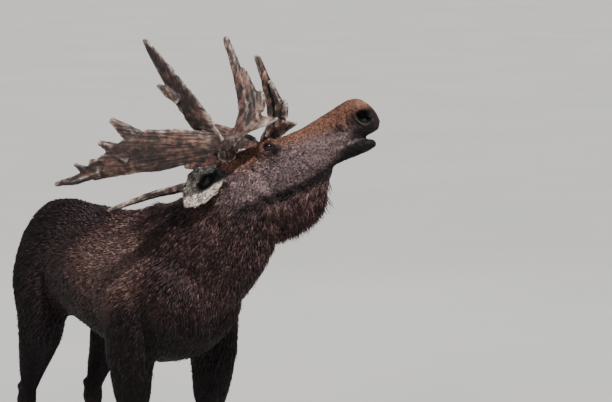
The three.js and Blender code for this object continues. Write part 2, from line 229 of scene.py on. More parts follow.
def refine(piece, wanted, cuts=1):
    """Subdivides the faces whose vertices are all wanted."""
    choose(piece)
    mesh = piece.data
    bpy.ops.object.mode_set(mode="EDIT")
    bpy.ops.mesh.select_mode(type="VERT")
    bpy.ops.mesh.select_all(action="DESELECT")
    bpy.ops.object.mode_set(mode="OBJECT")
    mesh.vertices.foreach_set("select", np.asarray(wanted, bool))
    bpy.ops.object.mode_set(mode="EDIT")
    bpy.ops.mesh.select_mode(type="FACE")
    bpy.ops.mesh.subdivide(number_cuts=cuts)
    bpy.ops.object.mode_set(mode="OBJECT")


def colour_layer(mesh, name, values):
    layer = mesh.color_attributes.new(name=name, type="FLOAT_COLOR", domain="POINT")
    rgba = np.ones((len(values), 4), np.float32)
    rgba[:, :3] = values
    layer.data.foreach_set("color", rgba.ravel())


def number_layer(mesh, name, values):
    layer = mesh.attributes.new(name=name, type="FLOAT", domain="POINT")
    layer.data.foreach_set("value", np.asarray(values, np.float32))


def steady_faces(mesh):
    """The same faces in one fixed order, because a new sphere lists its faces differently each time."""
    corner = [tuple(polygon.vertices) for polygon in mesh.polygons]
    turned = [face[face.index(min(face)):] + face[:face.index(min(face))] for face in corner]
    place = points_of(mesh)
    mesh.clear_geometry()
    mesh.from_pydata(place.tolist(), [], sorted(turned))
    mesh.update(calc_edges=True)


def finish_piece(piece, material, nodes=()):
    piece.data.materials.clear()
    piece.data.materials.append(material)
    piece.data.polygons.foreach_set("use_smooth", np.ones(len(piece.data.polygons), bool))
    piece.data.update()
    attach(piece, "root")
    if nodes:
        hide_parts(*nodes)


# ------------------------------------------------------------------ materials
def new_material(name):
    material = bpy.data.materials.new(name)
    material.use_nodes = True
    tree = material.node_tree
    return material, tree, tree.nodes["Principled BSDF"]


def node(tree, kind, links=None, **values):
    """A shader node with its properties and input values set, and its links made."""
    made = tree.nodes.new(kind)
    for key, value in values.items():
        if hasattr(made, key):
            setattr(made, key, value)
        else:
            made.inputs[key.replace("_", " ")].default_value = value
    for key, output in (links or {}).items():
        tree.links.new(output, made.inputs[key])
    return made


def attribute(tree, name):
    return node(tree, "ShaderNodeAttribute", attribute_name=name)


def object_place(tree):
    return node(tree, "ShaderNodeTexCoord").outputs["Object"]


def ramp(tree, factor, stops):
    made = node(tree, "ShaderNodeValToRGB", {"Fac": factor})
    band = made.color_ramp
    while len(band.elements) < len(stops):
        band.elements.new(0.5)
    for element, (place, colour) in zip(band.elements, stops):
        element.position = place
        element.color = (*colour, 1) if len(colour) == 3 else colour
    return made.outputs["Color"]


def blend_colours(tree, factor, a, b, mode="MIX"):
    made = tree.nodes.new("ShaderNodeMix")
    made.data_type = "RGBA"
    made.blend_type = mode
    for socket, value in ((made.inputs[0], factor), (made.inputs[6], a), (made.inputs[7], b)):
        if isinstance(value, bpy.types.NodeSocket):
            tree.links.new(value, socket)
        elif isinstance(value, (int, float)):
            socket.default_value = value
        else:
            socket.default_value = (*value, 1)
    return made.outputs[2]


def bump(tree, height, strength, distance, normal=None):
    made = node(tree, "ShaderNodeBump", {"Height": height})
    made.inputs["Strength"].default_value = strength
    made.inputs["Distance"].default_value = distance
    if normal is not None:
        tree.links.new(normal, made.inputs["Normal"])
    return made.outputs["Normal"]


def grey(value):
    return (value, value, value)


def flecked(tree, colour, contrast=0.5):
    """The colour broken into small light and dark locks, in the same places on skin and tufts."""
    fleck = node(tree, "ShaderNodeTexNoise", {"Vector": object_place(tree)}, Scale=105.0, Detail=2.0)
    flecks = ramp(tree, fleck.outputs["Fac"], [(0.38, grey(1 - contrast)), (0.62, grey(1 + 1.3 * contrast))])
    return blend_colours(tree, 1.0, colour, flecks, "MULTIPLY")


def hair_material(name, contrast):
    """Coarse guard hair: the markings times streaks that run along each tuft."""
    material, tree, shader = new_material(name)
    marks = attribute(tree, "markings").outputs["Color"]
    strand = attribute(tree, "strand").outputs["Vector"]
    stretched = node(tree, "ShaderNodeMapping", {"Vector": strand}, Scale=(7.0, 1.2, 1.0))
    fine = node(tree, "ShaderNodeTexNoise", {"Vector": stretched.outputs[0]}, Scale=1.0, Detail=2.0)
    streaks = ramp(tree, fine.outputs["Fac"], [(0.3, grey(0.62)), (0.52, grey(1.0)), (0.72, grey(1.5))])
    patch = node(tree, "ShaderNodeTexNoise", {"Vector": object_place(tree)}, Scale=26.0, Detail=3.0)
    patches = ramp(tree, patch.outputs["Fac"], [(0.35, grey(0.78)), (0.65, grey(1.18))])
    base = blend_colours(tree, 1.0, marks, streaks, "MULTIPLY")
    base = flecked(tree, blend_colours(tree, 1.0, base, patches, "MULTIPLY"), contrast)
    tree.links.new(base, shader.inputs["Base Color"])
    tree.links.new(bump(tree, fine.outputs["Fac"], 0.5, 0.0008), shader.inputs["Normal"])
    shader.inputs["Roughness"].default_value = 0.55
    shader.inputs["Specular IOR Level"].default_value = 0.20
    return material


def skin_material():
    """Skin under the coat, bare and pored where the bare layer says so."""
    material, tree, shader = new_material("hide_skin")
    marks = attribute(tree, "markings").outputs["Color"]
    bare = attribute(tree, "bare").outputs["Fac"]
    place = object_place(tree)
    nap = node(tree, "ShaderNodeTexNoise", {"Vector": place}, Scale=420.0, Detail=3.0)
    pores = node(tree, "ShaderNodeTexVoronoi", {"Vector": place}, Scale=520.0)
    speckle = ramp(tree, nap.outputs["Fac"], [(0.35, grey(0.55)), (0.65, grey(1.25))])
    haired = flecked(tree, blend_colours(tree, 1.0, marks, speckle, "MULTIPLY"))
    pored = ramp(tree, pores.outputs["Distance"], [(0.1, grey(0.6)), (0.6, grey(1.1))])
    smooth = blend_colours(tree, 1.0, marks, pored, "MULTIPLY")
    tree.links.new(blend_colours(tree, bare, haired, smooth), shader.inputs["Base Color"])
    hide_relief = bump(tree, nap.outputs["Fac"], 0.6, 0.002)
    pore_relief = bump(tree, pores.outputs["Distance"], 0.35, 0.0012, hide_relief)
    tree.links.new(pore_relief, shader.inputs["Normal"])
    rough = ramp(tree, bare, [(0.0, grey(0.75)), (1.0, grey(0.44))])
    tree.links.new(rough, shader.inputs["Roughness"])
    shader.inputs["Specular IOR Level"].default_value = 0.22
    return material


def antler_material():
    """Stained bone: the grain layer darkens the gutters, and rims and tips are pale, partly worn and partly
    painted highlight.
    """
    material, tree, shader = new_material("antler_bone")
    marks = attribute(tree, "markings").outputs["Color"]
    along = attribute(tree, "grain_place").outputs["Vector"]
    fibre = node(tree, "ShaderNodeTexNoise", {"Vector": along}, Scale=1.0, Detail=5.0, Roughness=0.62)
    blotch = node(tree, "ShaderNodeTexNoise", {"Vector": object_place(tree)}, Scale=48.0, Detail=5.0)
    # ridge tops lightened with a cool cast: partly worn bone, partly painted highlight; the darker gutters
    # are stain
    lines = ramp(tree, fibre.outputs["Fac"], [
        (0.38, grey(0.30)), (0.5, grey(0.9)), (0.63, (1.60, 1.75, 1.80)),
    ])
    stains = ramp(tree, blotch.outputs["Fac"], [(0.38, grey(0.45)), (0.52, grey(1.0)), (0.65, grey(1.45))])
    base = blend_colours(tree, 1.0, marks, lines, "MULTIPLY")
    base = blend_colours(tree, 1.0, base, stains, "MULTIPLY")
    tree.links.new(base, shader.inputs["Base Color"])
    ridges = bump(tree, fibre.outputs["Fac"], 0.6, 0.003)
    tree.links.new(bump(tree, blotch.outputs["Fac"], 0.5, 0.004, ridges), shader.inputs["Normal"])
    rough = ramp(tree, fibre.outputs["Fac"], [(0.3, grey(0.7)), (0.7, grey(0.42))])
    tree.links.new(rough, shader.inputs["Roughness"])
    shader.inputs["Specular IOR Level"].default_value = 0.45
    return material


def eye_material():
    """A wet ball: the zone layer runs from the pupil's middle (0) to the rim of the iris (1)."""
    material, tree, shader = new_material("eye_wet")
    zone = attribute(tree, "zone").outputs["Fac"]
    place = object_place(tree)
    fibres = node(tree, "ShaderNodeTexNoise", {"Vector": place}, Scale=900.0, Detail=3.0)
    rings = ramp(tree, zone, [
        (0.0, (0.002, 0.002, 0.003)), (0.40, (0.002, 0.002, 0.003)), (0.47, (0.007, 0.0032, 0.0018)),
        (0.80, (0.012, 0.0058, 0.0032)), (0.90, (0.004, 0.003, 0.0025)), (1.0, (0.030, 0.018, 0.015)),
    ])
    shade = ramp(tree, fibres.outputs["Fac"], [(0.35, grey(0.6)), (0.65, grey(1.3))])
    base = blend_colours(tree, 1.0, rings, shade, "MULTIPLY")
    tree.links.new(base, shader.inputs["Base Color"])
    shader.inputs["Roughness"].default_value = 0.2
    shader.inputs["Specular IOR Level"].default_value = 0.15
    shader.inputs["Coat Weight"].default_value = 0.75
    shader.inputs["Coat Roughness"].default_value = 0.02
    return material


def hoof_material():
    """Dull dark horn with growth rings and fine upright tubules."""
    material, tree, shader = new_material("hoof_horn")
    marks = attribute(tree, "markings").outputs["Color"]
    place = object_place(tree)
    upright = node(tree, "ShaderNodeMapping", {"Vector": place}, Scale=(420.0, 420.0, 30.0))
    tubes = node(tree, "ShaderNodeTexNoise", {"Vector": upright.outputs[0]}, Scale=1.0, Detail=3.0)
    tone = ramp(tree, tubes.outputs["Fac"], [(0.35, grey(0.6)), (0.65, grey(1.35))])
    tree.links.new(blend_colours(tree, 1.0, marks, tone, "MULTIPLY"), shader.inputs["Base Color"])
    tree.links.new(bump(tree, tubes.outputs["Fac"], 0.5, 0.0012), shader.inputs["Normal"])
    rough = ramp(tree, tubes.outputs["Fac"], [(0.3, grey(0.42)), (0.7, grey(0.66))])
    tree.links.new(rough, shader.inputs["Roughness"])
    return material


def floor_material():
    material, tree, shader = new_material("pale_floor")
    soft = node(tree, "ShaderNodeTexNoise", {"Vector": object_place(tree)}, Scale=0.6, Detail=2.0)
    tone = ramp(tree, soft.outputs["Fac"], [(0.3, (0.40, 0.41, 0.41)), (0.7, (0.43, 0.435, 0.43))])
    tree.links.new(tone, shader.inputs["Base Color"])
    shader.inputs["Roughness"].default_value = 0.9
    shader.inputs["Specular IOR Level"].default_value = 0.1
    return material


# ------------------------------------------------------------------ which part of the animal a point is on
class Finder:
    """The given CAD nodes as one surface that tells which node is nearest to a point."""

    def __init__(self, names):
        corners, faces, self.owner = [], [], []
        for index, name in enumerate(names):
            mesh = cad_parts[name].data
            start = len(corners)
            corners.extend(v.co.copy() for v in mesh.vertices)
            for face in mesh.polygons:
                faces.append([start + v for v in face.vertices])
                self.owner.append(index)
        self.tree = BVHTree.FromPolygons(corners, faces)

    def owners(self, p):
        return np.array([self.owner[self.tree.find_nearest(Vector(v))[2]] for v in p])


def limb_centres(name, step=0.03):
    """The middle of a leg at each height, as (heights, x, y)."""
    p = points_of(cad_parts[name].data)
    heights = np.arange(0.08, 1.0, step)
    centre = []
    for z in heights:
        near = p[np.argsort(np.abs(p[:, 2] - z))[:24]]
        centre.append((near[:, 0].min() + near[:, 0].max(), near[:, 1].min() + near[:, 1].max()))
    centre = np.array(centre) / 2
    return heights, centre[:, 0], centre[:, 1]


# ------------------------------------------------------------------ forms under the coat
def body_forms(p):
    """Muscle and bone of the trunk and upper limbs, as a height along the normal, in metres."""
    q = np.stack([p[:, 0], np.abs(p[:, 1] - SPINE_Y), p[:, 2]], 1)
    height = ridge(q, [(0.20, 0.09, 1.70), (0.27, 0.21, 1.55), (0.36, 0.29, 1.34)], 0.035, 0.010)
    height += 0.012 * blob(q, (0.20, 0.30, 1.30), (0.13, 0.09, 0.15))
    height -= 0.012 * blob(q, (0.02, 0.30, 1.36), (0.06, 0.12, 0.22))
    height += 0.009 * blob(q, (0.16, 0.29, 1.06), (0.05, 0.07, 0.06))
    height -= 0.013 * blob(q, (-0.60, 0.28, 1.34), (0.07, 0.10, 0.14))
    height += 0.008 * blob(q, (-0.62, 0.20, 1.60), (0.06, 0.06, 0.05))
    height += 0.010 * blob(q, (-0.80, 0.26, 1.36), (0.15, 0.10, 0.18))
    height += ridge(q, [(-0.50, 0.27, 1.24), (-0.53, 0.27, 1.10), (-0.58, 0.26, 1.00)], 0.03, 0.010)
    height += ridge(q, [(-0.95, 0.0, 1.68), (-0.4, 0.0, 1.72), (0.1, 0.0, 1.72)], 0.035, 0.006)
    height -= 0.012 * blob(q, (0.52, 0.0, 1.10), (0.10, 0.035, 0.16))
    ribs = 0.5 + 0.5 * np.cos((q[:, 0] + 0.25 * (q[:, 2] - 1.35)) * 2 * np.pi / 0.085)
    return height + 0.0022 * ribs * blob(q, (-0.24, 0.30, 1.34), (0.24, 0.12, 0.16))


def neck_forms(p):
    """Folds where the raised head bends the neck, in metres along the normal."""
    q = to_head(p)
    side = np.stack([q[:, 0], np.abs(q[:, 1]), q[:, 2]], 1)
    height = ridge(side, [(0.02, 0.13, 0.02), (-0.02, 0.14, -0.10), (0.02, 0.10, -0.22)], 0.022, -0.008)
    height += ridge(side, [(-0.06, 0.13, 0.0), (-0.10, 0.15, -0.14), (-0.04, 0.12, -0.28)], 0.026, -0.006)
    return height + ridge(side, [(-0.05, 0.06, 0.08), (-0.2, 0.10, 0.02), (-0.38, 0.12, -0.04)], 0.05, 0.008)


def leg_forms(p, name, centres):
    """Knees, hocks, tendons and fetlocks of one leg."""
    heights, cx, cy = centres
    dx = p[:, 0] - np.interp(p[:, 2], heights, cx)
    dy = np.abs(p[:, 1] - np.interp(p[:, 2], heights, cy))
    z = p[:, 2]
    cannon = smooth_step(0.20, 0.27, z) * (1 - smooth_step(0.46, 0.54, z))
    height = -0.0075 * cannon * np.exp(-(((dx + 0.008) / 0.009) ** 2)) * smooth_step(0.010, 0.024, dy)
    height += 0.0025 * cannon * np.exp(-(((dx + 0.026) / 0.010) ** 2)) * smooth_step(0.008, 0.02, dy)
    front = smooth_step(0.0, 0.03, dx)
    back = smooth_step(0.0, 0.03, -dx)
    side = smooth_step(0.015, 0.03, dy)
    if name.startswith("fore"):
        height += 0.007 * front * np.exp(-(((z - 0.610) / 0.035) ** 2))
        height -= 0.004 * front * np.exp(-(((z - 0.555) / 0.02) ** 2))
        height += 0.006 * back * np.exp(-(((z - 0.585) / 0.022) ** 2))
        height += 0.005 * side * np.exp(-(((z - 0.63) / 0.03) ** 2))
        height += 0.007 * side * np.exp(-(((z - 0.86) / 0.07) ** 2))
    else:
        height += 0.013 * back * np.exp(-(((z - 0.715) / 0.022) ** 2))
        height -= 0.006 * side * np.exp(-(((z - 0.75) / 0.05) ** 2)) * back
        height += 0.006 * side * np.exp(-(((z - 0.64) / 0.035) ** 2))
    height += 0.005 * back * np.exp(-(((z - 0.215) / 0.022) ** 2))
    return height - 0.004 * front * np.exp(-(((z - 0.150) / 0.02) ** 2))


MOUTH = [(0.592, 0.050, -0.088), (0.618, 0.052, -0.066), (0.655, 0.058, -0.058), (0.705, 0.064, -0.070),
         (0.752, 0.052, -0.078), (0.782, 0.0, -0.080)]
NOSTRIL = (0.741, 0.078, -0.004)
BURR = (0.075, 0.119, 0.110)


def face_forms(q):
    """Bone, muscle and folds of the head, in metres along the normal, from head-frame points."""
    s = np.stack([q[:, 0], np.abs(q[:, 1]), q[:, 2]], 1)
    height = 0.010 * blob(s, (0.175, 0.105, -0.070), (0.105, 0.07, 0.062))
    height += ridge(s, [(0.19, 0.10, 0.022), (0.27, 0.10, -0.004), (0.36, 0.085, -0.020),
                        (0.47, 0.065, -0.030)], 0.016, 0.006)
    height -= 0.007 * blob(s, (0.415, 0.07, 0.028), (0.10, 0.04, 0.030))
    height -= 0.008 * blob(s, (0.155, 0.09, 0.050), (0.040, 0.05, 0.028))
    height += ridge(s, [(0.212, 0.09, 0.092), (0.262, 0.10, 0.102), (0.318, 0.085, 0.088)], 0.014, 0.009)
    eye = np.linalg.norm(s - (EYE_SEAT[0], EYE_OUT, EYE_SEAT[2]), axis=1)
    height += 0.010 * np.exp(-(((eye - 0.026) / 0.030) ** 2))
    height -= 0.007 * blob(s, (0.322, 0.092, 0.016), (0.024, 0.03, 0.012))
    height -= 0.005 * blob(s, (0.153, 0.108, -0.012), (0.013, 0.03, 0.009))
    height += ridge(s, [(0.09, 0.10, -0.150), (0.20, 0.09, -0.165), (0.33, 0.06, -0.150),
                        (0.46, 0.045, -0.135)], 0.020, -0.020)
    height += ridge(s, [(0.11, 0.11, -0.118), (0.22, 0.10, -0.128), (0.34, 0.07, -0.122)], 0.018, 0.006)
    height -= 0.009 * blob(s, (0.588, 0.065, -0.002), (0.030, 0.03, 0.020))
    height += ridge(s, [(0.60, 0.068, 0.035), (0.628, 0.072, 0.012), (0.622, 0.068, -0.022)], 0.009, 0.005)
    height += ridge(s, [(0.672, 0.076, 0.052), (0.648, 0.074, 0.020), (0.652, 0.070, -0.018)], 0.008, -0.005)
    height += ridge(s, [(0.52, 0.060, -0.040), (0.60, 0.058, -0.050), (0.665, 0.066, -0.036),
                        (0.735, 0.066, -0.050)], 0.013, 0.007)
    height += ridge(s, [(0.56, 0.052, -0.110), (0.65, 0.052, -0.108), (0.72, 0.042, -0.112)], 0.014, 0.004)
    height -= 0.004 * blob(s, (0.60, 0.055, -0.088), (0.016, 0.02, 0.010))
    height += 0.006 * blob(s, (0.700, 0.050, 0.085), (0.05, 0.045, 0.045))
    return height - 0.006 * blob(s, (0.56, 0.030, 0.115), (0.06, 0.020, 0.03))


def nostril_place(s):
    """Place along and across the opening of the nostril."""
    tilt = 0.30
    d = s - np.array(NOSTRIL)
    along = d[:, 0] * math.cos(tilt) - d[:, 2] * math.sin(tilt)
    above = d[:, 0] * math.sin(tilt) + d[:, 2] * math.cos(tilt)
    return along, above


def muzzle_folds(q):
    """The nostril, its rims and the line of the mouth."""
    s = np.stack([q[:, 0], np.abs(q[:, 1]), q[:, 2]], 1)
    gap, t = along_path(s, MOUTH)
    height = -0.013 * smooth_step(-0.01, 0.12, t) * np.exp(-(gap / 0.0062) ** 2)
    height += 0.003 * smooth_step(0.0, 0.15, t) * np.exp(-(((gap - 0.013) / 0.006) ** 2))
    a, b = nostril_place(s)
    outside = smooth_step(0.02, 0.05, s[:, 1])
    # a comma: wide in front, drawn out to a slit behind and above
    taper = 1 - 0.35 * smooth_step(0.0, -0.045, a)
    around = np.sqrt((a / 0.043) ** 2 + ((b - 0.004 - 7.0 * a * a) / (0.034 * taper)) ** 2)
    height -= 0.036 * outside * (1 - smooth_step(0.35, 1.02, around))
    rim = 0.35 + 0.65 * smooth_step(0.010, -0.012, b)
    return height + 0.0042 * rim * outside * np.exp(-(((around - 1.20) / 0.16) ** 2))


# ------------------------------------------------------------------ eyelids
EYE_GAZE = {"left": (0.26, 1.0, 0.13), "right": (0.26, -1.0, 0.13)}
SLIT = {"half": 0.0225, "over": 0.0150, "under": 0.0128, "tilt": -20}


def eye_axes(side):
    """The ball's centre and its gaze, forward and upward axes, in the head's frame."""
    sign = 1 if side == "left" else -1
    gaze = unit(np.array(EYE_GAZE[side]))
    fore = np.array([1.0, 0, math.tan(math.radians(SLIT["tilt"]))])
    fore = unit(fore - gaze * (fore @ gaze))
    rise = unit(np.cross(gaze, fore)) * (1 if sign < 0 else -1)
    rise = rise if rise[2] > 0 else -rise
    return np.array([EYE_SEAT[0], sign * EYE_OUT, EYE_SEAT[2]]), gaze, fore, rise


def lid_share(q, side):
    """1 on the margin of the lids, less over the open eye, with the place along the gaze and across."""
    centre, gaze, fore, rise = eye_axes(side)
    d = q - centre
    out, u, v = d @ gaze, d @ fore, d @ rise
    lid = np.where(v > 0, SLIT["over"], SLIT["under"])
    inside = np.sqrt((u / SLIT["half"]) ** 2 + (v / lid) ** 2) * (1 + 0.18 * np.abs(u / SLIT["half"]) ** 3)
    return np.where(out > -0.02, inside, 9.0), out, u, v


def shape_lids(q, side):
    """Wraps the skin round the ball: lids with a thick margin and folds that follow them."""
    inside, out, u, v = lid_share(q, side)
    gaze = eye_axes(side)[1]
    across = np.hypot(u, v)
    near = inside < 4.0
    ball = np.sqrt(np.maximum(0, (EYE_R + 0.0030) ** 2 - across ** 2))
    skin = np.maximum(ball, out - 0.0035)
    want = np.where(inside < 1.0, ball - 0.0030 - 0.016 * (1 - smooth_step(0.72, 1.0, inside)), skin)
    over = smooth_step(-0.004, 0.006, v)
    want += 0.0012 * np.exp(-(((inside - 1.12) / 0.10) ** 2))
    want -= (0.0016 + 0.0012 * over) * np.exp(-(((inside - 1.55) / 0.14) ** 2))
    want += (0.0012 + 0.0022 * over) * np.exp(-(((inside - 1.95) / 0.20) ** 2))
    want -= 0.0016 * np.exp(-(((inside - 2.45) / 0.20) ** 2))
    hold = 1 - smooth_step(1.5, 2.7, inside)
    moved = out + (want - out) * hold
    corner = np.exp(-(((u - SLIT["half"] * 1.25) / 0.012) ** 2) - (v / 0.0045) ** 2)
    moved = moved - 0.0035 * corner * (inside > 1.0)
    result = q.copy()
    result[near] += (moved - out)[near, None] * gaze
    return result


# ------------------------------------------------------------------ markings
COAT = {
    "black": (0.0110, 0.0068, 0.0085),
    "dark": (0.0310, 0.0175, 0.0190),
    "brown": (0.0800, 0.0420, 0.0385),
    "grizzle": (0.1900, 0.1120, 0.1000),
    "rufous": (0.2050, 0.0900, 0.0560),
    "cheek": (0.1650, 0.1130, 0.1180),
    "nose": (0.0130, 0.0096, 0.0110),
    "pale_lip_and_highlight": (0.2900, 0.2100, 0.1950),
    "shank": (0.1150, 0.0830, 0.0760),
    "cream": (0.6200, 0.5300, 0.4700),
    "inner_ear": (0.1100, 0.1080, 0.1120),
    "horn": (0.0300, 0.0230, 0.0200),
}
COAT = {name: np.array(value) for name, value in COAT.items()}


class Ear:
    """One ear's axes: tip direction, the way the cup opens and the width across, in the head's frame."""

    def __init__(self, side):
        sign = 1 if side == "left" else -1
        tip = {"left": (-0.150, 0.215, -0.020), "right": (-0.215, -0.120, -0.120)}[side]
        mouth = {"left": (0.7, 0.6, -0.1), "right": (0.35, -1.0, 0.25)}[side]
        self.root = np.array([0.034, sign * 0.092, 0.070])
        self.length = float(np.linalg.norm(tip))
        self.axis = np.array(tip) / self.length
        self.width = unit(np.cross(mouth, self.axis))
        self.mouth = np.cross(self.axis, self.width)

    def place(self, q):
        """Share of the length and place across."""
        d = q - self.root
        return d @ self.axis / self.length, d @ self.width


EARS = {"left": Ear("left"), "right": Ear("right")}


def markings(p, n, weights):
    """The coat's colour at points p with outward normals n, for skin and tufts alike."""
    q = to_head(p)
    s = np.stack([q[:, 0], np.abs(q[:, 1]), q[:, 2]], 1)
    y = np.abs(p[:, 1] - SPINE_Y)
    cloud = grain(p, 5.0, 3.0)
    fleck = grain(p, 23.0, 9.0)
    # trunk: grizzled brown on the shoulder, withers and flank, near black on rump, belly and chest, partly
    # the coat's own colour and partly painted light and painted shade
    side = np.stack([p[:, 0], y, p[:, 2]], 1)
    # the lighter patch high on the flank is partly the coat's own colour, partly painted light
    flank = blob(side, (0.14, 0.24, 1.52), (0.42, 0.50, 0.23))
    flank = np.clip(flank * 1.25 + 0.22 * cloud + 0.12 * fleck, 0, 1)
    colour = mix(np.tile(COAT["dark"], (len(p), 1)), COAT["brown"], smooth_step(0.15, 0.60, flank))
    colour = mix(colour, COAT["grizzle"], 0.55 * smooth_step(0.55, 1.05, flank + 0.15 * fleck))
    # black on the rump and low on the belly and chest: partly the coat's own colour, partly painted shade
    low = 1.17 + 0.20 * smooth_step(0.20, 0.50, p[:, 0])
    rump = smooth_step(-0.45, -0.80, p[:, 0]) + (1 - smooth_step(low - 0.10, low + 0.12, p[:, 2]))
    colour = mix(colour, COAT["black"], np.clip(rump, 0, 1) * 0.85)
    # neck: dark brown with a paler throat side, near black low down towards the chest, partly the coat's own
    # colour and partly painted shade
    neck = weights["neck"]
    share = np.clip(0.26 + 0.5 * cloud + 0.3 * fleck, 0, 1)
    tone = mix(np.tile(COAT["dark"], (len(p), 1)), COAT["brown"], share)
    # near black low on the neck: partly the coat's own colour, partly painted shade
    tone = mix(tone, COAT["black"], 0.8 * (1 - smooth_step(1.18, 1.50, p[:, 2] + 0.04 * cloud)))
    colour = mix(colour, tone, neck)
    # legs: black above, grey-brown from the knee down
    shank = mix(np.tile(COAT["black"], (len(p), 1)), COAT["shank"],
                1 - smooth_step(0.42, 0.72, p[:, 2] + 0.05 * cloud))
    colour = mix(colour, shank, weights["leg"])
    # head
    face = np.tile(COAT["cheek"], (len(p), 1)) * (1 + 0.22 * fleck + 0.18 * cloud)[:, None]
    top = smooth_step(-0.02, 0.075, s[:, 2] + 0.16 * np.clip(s[:, 0] - 0.42, 0, 1) + 0.02 * cloud)
    face = mix(face, COAT["rufous"], 0.85 * top)
    brow = blob(s, (0.235, 0.075, 0.095), (0.06, 0.06, 0.05))
    face = mix(face, COAT["rufous"], 0.6 * brow)
    # a black band under the jaw line: painted shade below the jaw
    jaw = s[:, 2] - 0.14 * np.clip(s[:, 0] - 0.40, 0, 1)
    face = mix(face, COAT["black"] * 0.6, 0.95 * (1 - smooth_step(-0.150, -0.122, jaw)))
    throat = mix(np.tile(COAT["dark"], (len(p), 1)), COAT["brown"], np.clip(0.50 + 0.6 * fleck, 0, 1))
    face = mix(face, throat, 1 - smooth_step(-0.220, -0.185, jaw))
    lid = blob(s, (0.296, 0.100, 0.034), (0.046, 0.06, 0.034))
    face = mix(face, COAT["nose"], np.clip(1.05 * lid, 0, 1))
    face = mix(face, COAT["nose"], np.exp(-((lid_share(s, "left")[0] / 1.7) ** 6)))
    face = mix(face, COAT["rufous"] * 0.6, 0.5 * blob(s, (0.16, 0.10, 0.02), (0.05, 0.06, 0.05)))
    # lower muzzle and chin darkened: partly the bare skin's own dark colour, partly painted shade under the
    # overhanging muzzle
    muzzle = smooth_step(0.615, 0.70, s[:, 0]) * (1 - smooth_step(0.015, 0.070, s[:, 2]))
    face = mix(face, COAT["nose"], 0.92 * muzzle)
    chin = smooth_step(0.50, 0.60, s[:, 0]) * (1 - smooth_step(-0.095, -0.075, s[:, 2]))
    face = mix(face, COAT["nose"], chin)
    # the nostril's opening painted near black: painted shade inside the recess
    opening = np.hypot((s[:, 0] - NOSTRIL[0]) / 0.048, (s[:, 2] - NOSTRIL[2] - 0.004) / 0.036)
    opening = np.exp(-(opening ** 6)) * smooth_step(0.012, 0.026, s[:, 1])
    face = mix(face, COAT["nose"] * 0.25, opening)
    # a pale band along the upper lip: partly the lip's own colour, partly painted highlight
    gap, t = along_path(s, [(0.50, 0.062, -0.030), (0.58, 0.06, -0.040), (0.635, 0.062, -0.040)])
    face = mix(face, COAT["pale_lip_and_highlight"], 0.8 * np.exp(-(gap / 0.014) ** 2))
    # the dent behind the nostril painted dark: painted shade in the dent
    face = mix(face, COAT["nose"], 0.9 * blob(s, (0.588, 0.065, -0.002), (0.026, 0.04, 0.016)))
    bell = weights["bell"]
    face = mix(face, throat, bell)
    colour = mix(colour, face, weights["head"])
    # ears: cream inside towards the rim, grey in the cup, darkened deep in the cup by painted shade, brown
    # outside with a rufous edge
    for name, ear in EARS.items():
        t, across = ear.place(q)
        local = n @ HEAD_TURN
        toward = local @ ear.mouth - np.sign(across) * (local @ ear.width)
        within = smooth_step(0.05, 0.45, toward)
        low = -across * np.sign((HEAD_TURN @ ear.width)[2]) / 0.085
        rim = smooth_step(0.30, 0.80, np.hypot(np.maximum(low, -0.5 * low), 0.95 * t) + 0.20 * fleck)
        inner = mix(np.tile(COAT["inner_ear"], (len(p), 1)), COAT["cream"], np.clip(rim + 0.2 * fleck, 0, 1))
        # the dark spot deep in the cup is painted shade
        well = np.hypot((t - 0.40) / 0.24, (across / 0.085 + 0.05) / 0.44)
        cup_shade = np.exp(-(((well - 0.55) / 0.42) ** 2))
        clumps = smooth_step(0.04, 0.28, grain(p, 46.0, 71.0))
        clumps = clumps * (1 - smooth_step(1.02, 1.22, np.hypot(low, t)))
        inner = mix(inner, COAT["nose"] * 1.6, 0.62 * clumps)
        inner = mix(inner, COAT["nose"] * 0.8, np.clip(1.05 * cup_shade, 0, 1))
        edge = smooth_step(0.5, 1.0, np.abs(across) / 0.09)
        outer = mix(np.tile(COAT["brown"], (len(p), 1)), COAT["rufous"], edge)
        colour = mix(colour, mix(outer, inner, within), weights["ear_" + name])
    return np.clip(colour, 0.004, 0.8)


# ------------------------------------------------------------------ lie and length of the coat
def coat_lie(p, owners, weights):
    """The direction in which the hair lies at each point."""
    q = to_head(p)
    y = p[:, 1] - SPINE_Y
    sign = np.sign(y)
    low = smooth_step(1.60, 1.20, p[:, 2])
    rear = smooth_step(-0.55, -0.95, p[:, 0])
    trunk = np.stack([-1 + 0.55 * rear, 0.12 * sign, -0.22 - 0.62 * low - 0.9 * rear], 1)
    shoulder = smooth_step(0.10, 0.35, p[:, 0])
    trunk = trunk + shoulder[:, None] * np.array([0.25, 0, -0.45])
    neck = np.tile([-0.42, -0.12, -1.0], (len(p), 1))
    head = np.tile([-1.0, 0.0, 0.0], (len(p), 1))
    head[:, 2] = -0.55 * smooth_step(0.06, -0.06, q[:, 2]) * smooth_step(0.62, 0.45, q[:, 0])
    head = head @ HEAD_TURN.T
    bell = np.tile([0.10, 0.06, -1.0], (len(p), 1))
    lie = np.zeros_like(p)
    lie[owners == FLESH.index("trunk")] = trunk[owners == FLESH.index("trunk")]
    lie[owners == FLESH.index("neck")] = neck[owners == FLESH.index("neck")]
    lie[owners == FLESH.index("head")] = head[owners == FLESH.index("head")]
    lie[owners == FLESH.index("tail")] = (-0.2, 0, -1)
    for name in FLESH[6:]:
        lie[owners == FLESH.index(name)] = (-0.15, 0, -1)
    for side, ear in EARS.items():
        mine = owners == FLESH.index("ear_" + side)
        lie[mine] = ear.axis @ HEAD_TURN.T
    return unit(mix(unit(lie), unit(bell), weights["bell"]))


